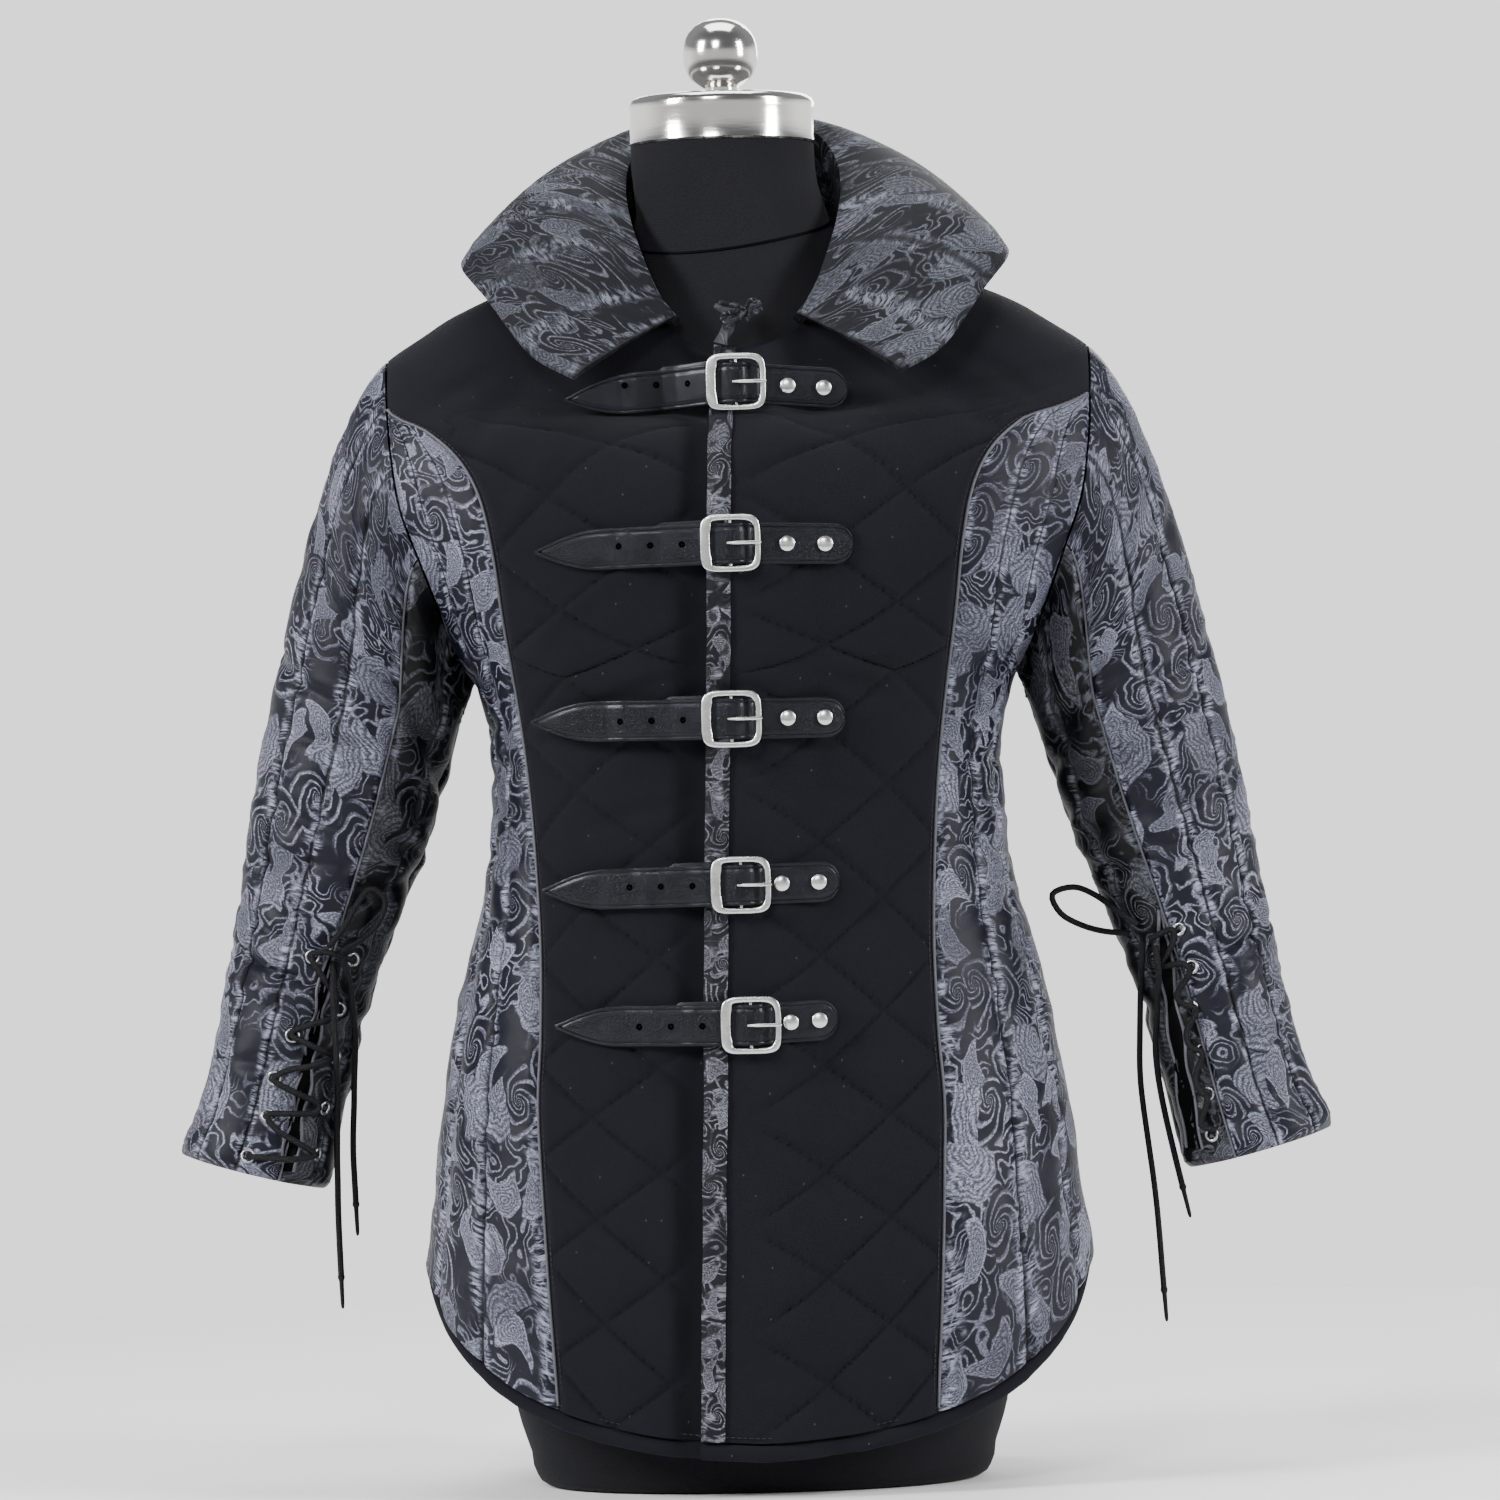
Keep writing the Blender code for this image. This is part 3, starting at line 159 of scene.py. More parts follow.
# The form's foot: heights and shares of its lowest ring; its neck: height, radius, middle y
FORM_FOOT = ((0, 0.90), (1.5, 0.945), (4, 0.97), (8, 0.985))
FORM_NECK = ((886, 66.5, 1), (904, 64.5, 0), (918, 64.2, 0), (932.6, 64, 0))
NECK_SEAM_HEIGHT = 872
NECK_SEAM_DIP = 16
NECK_SEAM_TILT = 7
NECK_X = -7.0
NECK_CAP = ((933, 64), (934.5, 65.2), (938, 64.6), (956, 64.2), (961, 65), (964.5, 63.5),
            (966.5, 60), (967, 40), (967, 0.5))
KNOB = ((967.4, 13.5), (969, 14.5), (971, 12), (973, 12), (976, 16.5), (979, 20.5), (983, 23.4),
        (988, 25.3), (993, 26.1), (998, 26.2), (1003, 25.7), (1008, 24.2), (1012, 22),
        (1016, 18.4), (1019.5, 13), (1021.4, 7), (1022, 0.5))

# The collar from its front end to the middle of the back: the roll line and the outer edge,
# each x, y, z, and how far the roll swells
COLLAR_STATIONS = (
    (0, 47, -78, 806, 112, -125, 764, 2), (1, 58, -76, 822, 142, -112, 783, 10),
    (2, 68, -68, 848, 170, -76, 822, 18), (3, 76, -42, 874, 187, -30, 846, 24),
    (4, 80, -6, 899, 182, 24, 860, 28), (5, 77, 30, 922, 160, 76, 868, 30),
    (6, 62, 58, 943, 118, 116, 866, 30), (7, 34, 76, 955, 62, 138, 862, 28),
    (8, 0, 81, 959, 0, 145, 860, 28),
)
COLLAR_FRONT_ANGLE = 28.0
COLLAR_SEAM_LIFT = 1.3
COLLAR_CHANNELS = 15
COLLAR_WALL = 7.0
COLLAR_PUFF = 1.5
COLLAR_STAND_LINES = 3
COLLAR_FALL_LINES = 6


def mix(first, second, amount):
    return first + (second - first) * amount


def ease(low, high, value):
    share = np.clip((value - low) / (high - low), 0.0, 1.0)
    return share * share * (3 - 2 * share)


def cubic(first, last, leave, arrive, t):
    """A smooth curve that leaves its first point and arrives at its last one as told."""
    return ((2 * t**3 - 3 * t**2 + 1) * first + (t**3 - 2 * t**2 + t) * leave
            + (3 * t**2 - 2 * t**3) * last + (t**3 - t**2) * arrive)


def running(steps, axis=0):
    """The sum of the steps so far at each place, which starts from nothing."""
    return np.concatenate([0 * np.take(steps, [0], axis), np.cumsum(steps, axis)], axis)


def grid(down, across):
    """Places down and across a cloth, each given as its first, its last and how many."""
    return np.meshgrid(np.linspace(*down), np.linspace(*across), indexing="ij")


def read(table, key):
    """The table's columns at each key, on smooth curves through its rows."""
    rows = np.array(table, float)
    keys, values = rows[:, 0], rows[:, 1:]
    last = len(keys) - 1
    key = np.clip(np.asarray(key, float), keys[0], keys[-1])
    low = np.clip(np.searchsorted(keys, key) - 1, 0, last - 1)
    high = low + 1
    before = np.maximum(low - 1, 0)
    beyond = np.minimum(low + 2, last)
    span = (keys[high] - keys[low])[..., None]
    t = ((key - keys[low]) / (keys[high] - keys[low]))[..., None]
    leave = (values[high] - values[before]) / (keys[high] - keys[before])[..., None] * span
    arrive = (values[beyond] - values[low]) / (keys[beyond] - keys[low])[..., None] * span
    return cubic(values[low], values[high], leave, arrive, t)


def unit(vectors):
    return vectors / np.maximum(np.linalg.norm(vectors, axis=-1, keepdims=True), 1e-9)


def signed_power(value, power):
    return np.sign(value) * np.abs(value) ** power


def coat_point(angle, level, inset_x=0.0, inset_y=0.0):
    """Points of the coat's outer face: 0 is the front middle, 90 degrees the wearer's left."""
    angle, level = np.broadcast_arrays(np.asarray(angle, float), np.asarray(level, float))
    ring = read(COAT_RINGS, level)
    ahead = np.cos(angle)
    x = (ring[..., 0] - inset_x) * signed_power(np.sin(angle), 2 / RING_POWER)
    depth = np.where(ahead > 0, -ring[..., 1] - inset_y, ring[..., 2] - inset_y)
    y = -depth * signed_power(ahead, 2 / RING_POWER)
    drop = FRONT_NECK_DROP * ((1 + ahead) / 2) ** 4 * ease(NECK_DROP_FROM, NECKLINE, level)
    return np.stack([x, y, level - drop], -1)


def coat_normal(angle, level):
    across = coat_point(angle + 0.02, level) - coat_point(angle - 0.02, level)
    along = coat_point(angle, np.minimum(level + 3, NECKLINE)) - coat_point(angle, level - 3)
    return unit(np.cross(across, along))


def coat_face(angle, level):
    return coat_point(angle, level), coat_normal(angle, level)


def angle_at(x, level):
    half_width = read(COAT_RINGS, level)[..., 0]
    return np.sign(x) * np.arcsin(np.minimum(np.abs(x) / half_width, 1.0) ** (RING_POWER / 2))


def hem_height(angle):
    turned = np.abs(np.degrees(np.arctan2(np.sin(angle), np.cos(angle))))
    return read(HEM_LINE, np.where(turned > 90, 180 - turned, turned))[..., 0] + HEM_BAND


ROWS = SKIRT_ROWS + WAIST_ROWS + ARMHOLE_ROWS + SHOULDER_ROWS + 1
ARMHOLE_FIRST = SKIRT_ROWS + WAIST_ROWS
ARMHOLE_LAST = ARMHOLE_FIRST + ARMHOLE_ROWS


def row_level(row, angle=0.0):
    """The height of a row, which may lie between two whole ones."""
    row, angle = np.broadcast_arrays(np.asarray(row, float), np.asarray(angle, float))
    skirt = mix(hem_height(angle), SKIRT_TOP, row / SKIRT_ROWS)
    waist = mix(SKIRT_TOP, UNDERARM, (row - SKIRT_ROWS) / WAIST_ROWS)
    share = np.clip((row - ARMHOLE_FIRST) / ARMHOLE_ROWS, 0, 1)
    share = 0.3 * (1 - np.cos(np.pi * share)) + 0.4 * share
    arm = mix(UNDERARM, SHOULDER_TIP, share)
    top = mix(SHOULDER_TIP, NECKLINE, (row - ARMHOLE_LAST) / SHOULDER_ROWS)
    low = np.where(row <= SKIRT_ROWS, skirt, waist)
    high = np.where(row <= ARMHOLE_LAST, arm, top)
    return np.where(row <= ARMHOLE_FIRST, low, high)


SEAM_END_ROW = min(range(ARMHOLE_FIRST, ARMHOLE_LAST),
                   key=lambda row: abs(float(row_level(row)) - SEAM_AT_ARMHOLE))


def armhole_angle(row):
    level = row_level(row)
    return angle_at(read(ARMHOLE_SEAM, level)[..., 0], level)


def seam_angle(row, side, behind):
    """Angle of the long seam, and above it of the armhole and then the shoulder seam."""
    level = row_level(row, math.radians(40))
    across = read(PRINCESS_SEAM, level)[..., 0]
    if not behind:
        across = across + side * COAT_MIDDLE
    long_seam = angle_at(across, level)
    angle = mix(long_seam, armhole_angle(row), np.clip(row - (SEAM_END_ROW - 1), 0, 1))
    angle = np.where(row > ARMHOLE_LAST, np.pi / 2, angle)
    return np.pi - angle if behind else angle


def shift_angle(angle, level, distance):
    """An angle moved along the ring by a distance."""
    pace = coat_point(angle + 0.01, level) - coat_point(angle - 0.01, level)
    return angle + distance / (np.linalg.norm(pace, axis=-1) / 0.02)


def part_from_seams(angle, row, column, columns):
    """Moves a panel's first and last columns in by half the gap at a seam."""
    near = np.clip(1 - column, 0, 1) - np.clip(column - columns + 1, 0, 1)
    return shift_angle(angle, row_level(row, angle), near * SEAM_GAP / 2)


# Soft noise from a fixed table, so that every run gives the same cloth
GRAIN = np.random.default_rng(12).random((64, 64))


def soft_noise(u, v):
    """Smooth bumps from -1 to 1 at a spacing of 1 along u and v."""
    u0, v0 = np.floor(u).astype(int), np.floor(v).astype(int)
    s, t = u - u0, v - v0
    s, t = s * s * (3 - 2 * s), t * t * (3 - 2 * t)
    a, b = GRAIN[u0 % 64, v0 % 64], GRAIN[(u0 + 1) % 64, v0 % 64]
    c, d = GRAIN[u0 % 64, (v0 + 1) % 64], GRAIN[(u0 + 1) % 64, (v0 + 1) % 64]
    return 2 * mix(mix(a, b, s), mix(c, d, s), t) - 1


def folds(across, along, table):
    """The height of soft folds, each given by its middle across and along, its turn in
    degrees, its half length, half width and height, where a trough is negative."""
    total = np.zeros(np.broadcast(across, along).shape)
    for x, z, turn, length, width, height in table:
        c, s = math.cos(math.radians(turn)), math.sin(math.radians(turn))
        dx, dz = across - x, along - z
        run = (dx * c + dz * s) / length
        off = (dz * c - dx * s + 0.12 * length * run * run) / width
        total += height * np.exp(-run * run - off * off) * (1 - 0.9 * off * off)
    return total


def pillow(column, row):
    """Quilting between two sets of slanting stitch lines, with a sharp dip at each line."""
    up = np.abs(np.sin(np.pi * (column + row) / 4))
    down = np.abs(np.sin(np.pi * (column - row) / 4))
    dip = np.exp(-(up / 0.06) ** 2) + np.exp(-(down / 0.06) ** 2)
    pucker = np.exp(-(up / 0.2) ** 2) + np.exp(-(down / 0.2) ** 2)
    wrinkle = soft_noise(column * 5.1 + 9, row * 5.3) * pucker
    rise = QUILT_RISE * (up * down) ** QUILT_SQUARE
    return rise - QUILT_DIP * np.minimum(dip, 1) + QUILT_WRINKLE * wrinkle


def channel(place, along, seed):
    """Upright channels with stitch lines at whole places: their height, and how near the cloth
    is to a line, first as the pucker that the stitches pull in and then as the line itself."""
    share = place - np.floor(place)
    side = np.sign(share - 0.5)
    hump = np.sin(np.pi * share) ** 0.5
    which = np.floor(place) * 7.3 + seed
    reach = 0.17 + 0.07 * soft_noise(which + 3.1 * side, along / 11)
    close = np.minimum(share, 1 - share)
    near = np.exp(-(close / reach) ** 2)
    wander = 0.018 * soft_noise(which + 5 * side, along / 5)
    line = np.exp(-((close + wander) / 0.045) ** 2)
    pucker = soft_noise(which + 2.5 * side, along / 5.5)
    pucker = pucker + 0.6 * soft_noise(which - side, along / 3.4)
    swell = soft_noise(which * 1.7, along / 34)
    ripple = soft_noise(which * 0.6 + share * 1.5, along / 17)
    height = CHANNEL_RISE * hump * (0.94 + 0.26 * swell) + CHANNEL_RIPPLE * ripple * hump
    height += CHANNEL_PUCKER * pucker * near * np.minimum(hump * 1.6, 1) - CHANNEL_DIP * line
    return height, near, line


# Making meshes

def placed(name, data):
    """A new object with its data, linked to the scene."""
    made = bpy.data.objects.new(name, data)
    bpy.context.scene.collection.objects.link(made)
    return made


def new_object(name, mesh, finish):
    mesh.materials.clear()
    mesh.materials.append(finish)
    return placed(name, mesh)


def plain_mesh(host):
    """A host object's mesh or curve once its modifiers have run."""
    graph = bpy.context.evaluated_depsgraph_get()
    return bpy.data.meshes.new_from_object(host.evaluated_get(graph))


def mesh_of(name, points, faces, uv, sharp=50):
    """A mesh from points in metres, turned so that its faces point outwards."""
    corners = points[np.array([(face[0], face[turn], face[turn + 1]) for face in faces
                               for turn in range(1, len(face) - 1)])]
    volume = np.einsum("ij,ij->i", corners[:, 0], np.cross(corners[:, 1], corners[:, 2])).sum()
    if volume < 0:
        faces = [face[::-1] for face in faces]
    mesh = bpy.data.meshes.new(name)
    mesh.from_pydata(points.tolist(), [], faces)
    layer = mesh.uv_layers.new(name="cloth")
    loops = np.empty(len(mesh.loops), int)
    mesh.loops.foreach_get("vertex_index", loops)
    layer.data.foreach_set("uv", uv[loops].astype(np.float32).ravel())
    mesh.shade_smooth()
    mesh.set_sharp_from_angle(angle=math.radians(sharp))
    mesh.update()
    return mesh


def cloth_uv(points):
    """Metres across and along the cloth, measured from the grid's middle column."""
    across = distances(points)[0]
    middle = points.shape[1] // 2
    across -= across[:, middle:middle + 1]
    along = running(np.linalg.norm(np.diff(points[:, middle], axis=0), axis=-1))
    return np.stack([across, np.broadcast_to(along[:, None], across.shape)], -1) * MM


# The plain inside of a wall keeps about one in this many of its outside's points each way
INNER_STEP = 5


def kept_places(count):
    """The outside's places that the inside keeps, its ends among them."""
    return np.unique(np.linspace(0, count - 1, max(count // INNER_STEP, 2)).astype(int))


def cells(index):
    """The four corners of each cell of a grid."""
    around = [index[:-1, :-1], index[:-1, 1:], index[1:, 1:], index[1:, :-1]]
    return np.stack(around, -1).reshape(-1, 4)


def shell(name, outer, inner, finish, offset=(0.0, 0.0), marks=None):
    """A closed wall of cloth between two grids of points in millimetres. marks are values at
    its points that the finish reads by name."""
    shape = outer.shape[:2]
    index = np.arange(shape[0] * shape[1]).reshape(shape)
    down, across = kept_places(shape[0]), kept_places(shape[1])
    kept = np.ix_(down, across)
    inside = index.size + np.arange(len(down) * len(across)).reshape(len(down), -1)
    faces = cells(index).tolist() + cells(inside)[:, ::-1].tolist()
    # The rim, where each edge of the inside faces a run of the outside's edges
    for fine, coarse, places, way in ((index[0], inside[0], across, 1),
                                      (index[:, -1], inside[:, -1], down, 1),
                                      (index[-1], inside[-1], across, -1),
                                      (index[:, 0], inside[:, 0], down, -1)):
        for number, (start, end) in enumerate(zip(places[:-1], places[1:])):
            face = fine[start:end + 1][::-1].tolist() + coarse[number:number + 2].tolist()
            faces.append(face[::way])
    points = np.concatenate([outer.reshape(-1, 3), inner[kept].reshape(-1, 3)]) * MM
    uv = cloth_uv(outer) + np.array(offset)
    uv = np.concatenate([uv.reshape(-1, 2), uv[kept].reshape(-1, 2)])
    mesh = mesh_of(name, points, faces, uv)
    for mark, values in (marks or {}).items():
        layer = mesh.attributes.new(mark, "FLOAT", "POINT")
        values = np.broadcast_to(values, shape)
        values = np.concatenate([values.ravel(), values[kept].ravel()])
        layer.data.foreach_set("value", values.astype(np.float32))
    return new_object(name, mesh, finish)


def lofted(name, rings, finish, sharp=50, hoop=False):
    """A solid through rings of points in millimetres, with flat ends unless it is a hoop."""
    index = np.arange(rings[..., 0].size).reshape(rings.shape[:2])
    if hoop:
        index = np.concatenate([index, index[:1]])
    beside = np.roll(index, -1, axis=1)
    faces = np.stack([index[:-1], beside[:-1], beside[1:], index[1:]], -1).reshape(-1, 4).tolist()
    if not hoop:
        faces += [index[0, ::-1].tolist(), index[-1].tolist()]
    across = np.linalg.norm(np.roll(rings, -1, axis=1) - rings, axis=-1).cumsum(1)
    along = running(np.linalg.norm(np.diff(rings, axis=0), axis=-1).mean(1))
    along = np.broadcast_to(along[:, None], across.shape)
    uv = np.stack([along, across], -1).reshape(-1, 2) * MM
    return new_object(name, mesh_of(name, rings.reshape(-1, 3) * MM, faces, uv, sharp), finish)


def turns(count):
    """Angles evenly round a circle."""
    return np.linspace(0, 2 * np.pi, count, endpoint=False)


def lathe(name, profile, columns):
    """A turned chrome solid on the neck's middle line: its profile is heights and radii."""
    rings = np.array([[(NECK_X + r * math.sin(a), -r * math.cos(a), z) for a in turns(columns)]
                      for z, r in profile])
    return lofted(name, rings, CHROME, 40)


# Finishes: each is a tree of nodes, written as sums

def put(tree, socket, value):
    """Links a socket to a node's result, or sets it to a plain value."""
    value = value.socket if isinstance(value, Term) else value
    if isinstance(value, bpy.types.NodeSocket):
        tree.links.new(value, socket)
    else:
        socket.default_value = value


def add_node(tree, kind, inputs, **settings):
    """A new node with its settings made and its inputs linked or set."""
    made = tree.nodes.new(kind)
    for key, value in settings.items():
        setattr(made, key, value)
    for key, value in inputs.items():
        put(tree, made.inputs[key], value)
    return made


class Term:
    """A number that a node gives, which can be added to and multiplied."""

    def __init__(self, finish, socket):
        self.finish = finish
        self.socket = socket

    def __add__(self, other):
        return self.finish.calc("ADD", self, other)

    def __sub__(self, other):
        return self.finish.calc("SUBTRACT", self, other)

    def __rsub__(self, other):
        return self.finish.calc("SUBTRACT", other, self)

    def __mul__(self, other):
        return self.finish.calc("MULTIPLY", self, other)

    def __truediv__(self, other):
        return self.finish.calc("DIVIDE", self, other)

    __radd__ = __add__
    __rmul__ = __mul__


class Finish:
    """A material with a Principled shader and the nodes that feed it."""

    def __init__(self, name, roughness=0.5, metallic=0.0, **constants):
        self.material = bpy.data.materials.new(name)
        self.material.use_nodes = True
        self.tree = self.material.node_tree
        self.shader = self.tree.nodes["Principled BSDF"]
        self.shader.inputs["Roughness"].default_value = roughness
        self.shader.inputs["Metallic"].default_value = metallic
        for socket, value in constants.items():
            self.shader.inputs[socket.replace("_", " ")].default_value = value

    def node(self, kind, inputs=None, **settings):
        return add_node(self.tree, "ShaderNode" + kind, inputs or {}, **settings)

    def calc(self, operation, *values):
        made = self.node("Math", dict(enumerate(values)), operation=operation)
        return Term(self, made.outputs[0])

    def smooth(self, value, low, high):
        made = self.node("MapRange", {0: value, 1: low, 2: high},
                         interpolation_type="SMOOTHSTEP")
        return Term(self, made.outputs[0])

    def noise(self, vector, scale, detail=2.0, roughness=0.5):
        made = self.node("TexNoise", {"Vector": vector, "Scale": scale, "Detail": detail,
                                      "Roughness": roughness})
        return Term(self, made.outputs["Fac"])

    def colour(self, amount, first, second):
        made = self.node("Mix", {"Factor": amount}, data_type="RGBA")
        for socket, value in ((made.inputs[6], first), (made.inputs[7], second)):
            put(self.tree, socket, (*value, 1) if isinstance(value, tuple) else value)
        return made.outputs[2]

    def vector(self, x, y, z=0.0):
        return self.node("CombineXYZ", {0: x, 1: y, 2: z}).outputs[0]

    def parts(self, vector):
        made = self.node("SeparateXYZ", {0: vector})
        return [Term(self, socket) for socket in made.outputs]

    def object_place(self):
        return self.node("TexCoord").outputs["Object"]

    def cloth_place(self):
        return self.node("UVMap", uv_map="cloth").outputs[0]

    def bump(self, height, distance, strength=1.0, under=None):
        inputs = {"Height": height, "Distance": distance, "Strength": strength}
        if under is not None:
            inputs["Normal"] = under
        return self.node("Bump", inputs).outputs[0]

    def shade(self, colour=None, roughness=None, normal=None):
        for name, value in (("Base Color", colour), ("Roughness", roughness),
                            ("Normal", normal)):
            if value is not None:
                put(self.tree, self.shader.inputs[name], value)
        return self.material


def brocade_finish(name, light, ground, cell=0.036, roughness=0.44):
    """Woven brocade: leaves, fans and scrolls in fine pale lines on a dark satin ground."""
    f = Finish(name, Specular_IOR_Level=0.15)
    place = f.cloth_place()
    u, v, _ = f.parts(place)
    drift = f.node("TexNoise", {"Vector": place, "Scale": 24.0, "Detail": 2.0})
    drift_u, drift_v, _ = f.parts(drift.outputs["Color"])
    u = u + (drift_u - 0.5) * 0.022
    v = v + (drift_v - 0.5) * 0.022
    warped = f.vector(u, v * 0.8)
    cells = f.node("TexVoronoi", {"Vector": warped, "Scale": 1 / cell, "Randomness": 0.9},
                   voronoi_dimensions="2D")
    local = f.node("VectorMath", {0: warped, 1: cells.outputs["Position"]},
                   operation="SUBTRACT").outputs[0]
    local = f.node("VectorMath", {0: local, "Scale": 1 / cell}, operation="SCALE").outputs[0]
    chance, size, kind = f.parts(cells.outputs["Color"])
    turned = f.node("VectorRotate", {"Vector": local, "Angle": chance * 6.28},
                    rotation_type="Z_AXIS").outputs[0]
    x, y, _ = f.parts(turned)
    reach = f.calc("SQRT", x * x + y * y)
    turn = f.calc("ARCTAN2", y, x)
    # A leaf that bends to one side: a pale outline, then lines that echo it
    bent = x - y * y * 1.1
    narrow = 1.25 + (y + 0.45) * 2.4
    leaf = f.calc("SQRT", bent * bent * narrow * narrow + y * y)
    in_leaf = f.smooth(leaf, 0.53, 0.50)
    rim = f.smooth(f.calc("ABSOLUTE", leaf - 0.465), 0.05, 0.02)
    fray = f.noise(f.vector(u, v), 420.0, 2.0) * 5
    veins = f.calc("SINE", leaf * 74 + x * 9 + fray) * 0.5 + 0.5
    leaf_lines = f.calc("MAXIMUM", rim, veins * 0.6 + 0.3) * in_leaf
    # A fan of combed arcs
    fan_reach = f.calc("SQRT", x * x + (y + 0.35) * (y + 0.35))
    in_fan = f.smooth(fan_reach, 0.74, 0.70) * f.smooth(reach, 0.60, 0.54)
    combed = fan_reach * 62 + f.calc("SINE", turn * 5) * 1.6 + fray
    fan_lines = (f.calc("SINE", combed) * 0.35 + 0.6) * in_fan
    # A scroll of curling stems
    curl = f.calc("SINE", turn * 2 + f.calc("LOGARITHM", reach + 0.03, 2.718) * 6.5)
    stems = f.smooth(f.calc("ABSOLUTE", curl), 0.62, 0.30) * f.smooth(reach, 0.60, 0.5)
    strands = f.calc("SINE", turn * 9 + reach * 66 + fray) * 0.35 + 0.65
    scroll_lines = stems * strands
    is_fan = f.smooth(kind, 0.36, 0.37)
    is_scroll = f.smooth(kind, 0.62, 0.63)
    motif = mix_terms(mix_terms(leaf_lines, fan_lines, is_fan), scroll_lines, is_scroll)
    covered = mix_terms(mix_terms(in_leaf, in_fan, is_fan), f.smooth(reach, 0.6, 0.5), is_scroll)
    # Tendrils that wander over the ground between the motifs
    sway = f.noise(f.vector(u, v), 34.0, 1.5)
    tendril = f.calc("ABSOLUTE", f.calc("SINE", sway * 40 + u * 30))
    thin = f.smooth(tendril, 0.6, 0.2)
    clumps = f.smooth(f.noise(f.vector(u, v), 15.0, 1.0), 0.40, 0.52)
    pattern = f.calc("MAXIMUM", motif, thin * clumps * (1 - covered) * 0.85)
    flecks = f.noise(f.vector(u, v * 1.7), 540.0, 2.0, 0.75)
    # Broad patches of wear, which also set where the painted highlight hairs show
    wear_and_sheen_patches = f.noise(place, 45.0, 3.0, 0.6)
    lit = f.smooth(f.noise(place, 9.0, 2.0), 0.32, 0.66) * 0.55 + 0.5
    woven = f.smooth(flecks, 0.38, 0.62) * 1.0 + 0.25
    thread = pattern * woven * (size * 0.3 + 0.75) * lit + (wear_and_sheen_patches - 0.5) * 0.08
    # Painted highlight: where stitches pull the cloth in, and on the crests of the binding's
    # creases, short hairs of the pale threads are painted lighter
    pull = Term(f, f.node("Attribute", attribute_name="pull").outputs["Fac"])
    line = Term(f, f.node("Attribute", attribute_name="line").outputs["Fac"])
    hairs = f.noise(f.vector(u * 60, v * 420), 1.0, 3.0, 0.7)
    hairs = f.smooth(hairs, 0.42, 0.6) * f.smooth(wear_and_sheen_patches, 0.42, 0.58)
    painted_pucker_highlight = hairs * f.smooth(pull, 0.18, 0.8)
    amount = f.calc("MAXIMUM", thread * 0.95, painted_pucker_highlight * 1.1)
    amount = f.calc("MAXIMUM", amount, 0.0)
    # Stitch lines are painted near black as dark joints; on the binding the same mark is painted
    # shade in the troughs of its creases
    colour = f.colour(f.smooth(line, 0.3, 0.9) * 0.85, f.colour(amount, ground, light),
                      (0.006, 0.006, 0.008))
    weave = f.calc("SINE", u * 5200) * f.calc("SINE", v * 5200)
    normal = f.bump(pattern * 0.8 + weave * 0.12 + hairs * pull * 0.8 + wear_and_sheen_patches, 0.0006, 0.6)
    return f.shade(colour, roughness + amount * 0.12, normal)


def mix_terms(first, second, amount):
    return first * (1 - amount) + second * amount


def cotton_finish():
    """Matt black twill with a little lint."""
    f = Finish("black_cotton", roughness=0.92, Sheen_Weight=0.012, Sheen_Roughness=0.5,
               Specular_IOR_Level=0.14)
    place = f.cloth_place()
    u, v, _ = f.parts(place)
    twill = f.calc("SINE", (u + v) * 4200) * 0.5 + f.calc("SINE", (u - v) * 6100) * 0.25
    cloudy = f.noise(place, 22.0, 3.0)
    lint = f.node("TexVoronoi", {"Vector": f.vector(u, v * 0.7), "Scale": 95.0},
                  voronoi_dimensions="2D")
    pick = f.parts(lint.outputs["Color"])[0]
    specks = f.smooth(Term(f, lint.outputs["Distance"]), 0.07, 0.03) * f.smooth(pick, 0.94, 0.95)
    base = f.colour(cloudy, (0.0030, 0.0030, 0.0052), (0.0062, 0.0062, 0.0100))
    colour = f.colour(specks * 0.2, base, (0.16, 0.17, 0.2))
    fluff = f.noise(place, 700.0, 2.0)
    return f.shade(colour, 0.86 + cloudy * 0.12, f.bump(twill + fluff, 0.0003, 0.5))


def jersey_finish():
    """Close black knit, a shade lighter than the coat."""
    f = Finish("form_jersey", roughness=0.85, Sheen_Weight=0.015, Specular_IOR_Level=0.16)
    place = f.object_place()
    x, y, z = f.parts(place)
    ribs = f.calc("SINE", (x + y) * 4000) * f.calc("SINE", z * 3600)
    cloudy = f.noise(place, 14.0, 4.0)
    fuzz = f.noise(place, 420.0, 3.0)
    colour = f.colour(cloudy, (0.0035, 0.0035, 0.005), (0.007, 0.007, 0.0095))
    return f.shade(colour, 0.78 + fuzz * 0.16, f.bump(ribs * 0.5 + fuzz, 0.0004, 0.5))


def chrome_finish():
    """Polished metal with faint wiping marks."""
    f = Finish("chrome", roughness=0.12, metallic=1.0)
    place = f.object_place()
    x, y, z = f.parts(place)
    marks = f.noise(f.vector(x, y, z * 9), 40.0, 4.0, 0.6)
    patches = f.noise(place, 18.0, 3.0)
    colour = f.colour(patches, (0.62, 0.60, 0.575), (0.80, 0.79, 0.77))
    return f.shade(colour, 0.07 + marks * 0.12, f.bump(marks, 0.0002, 0.25))


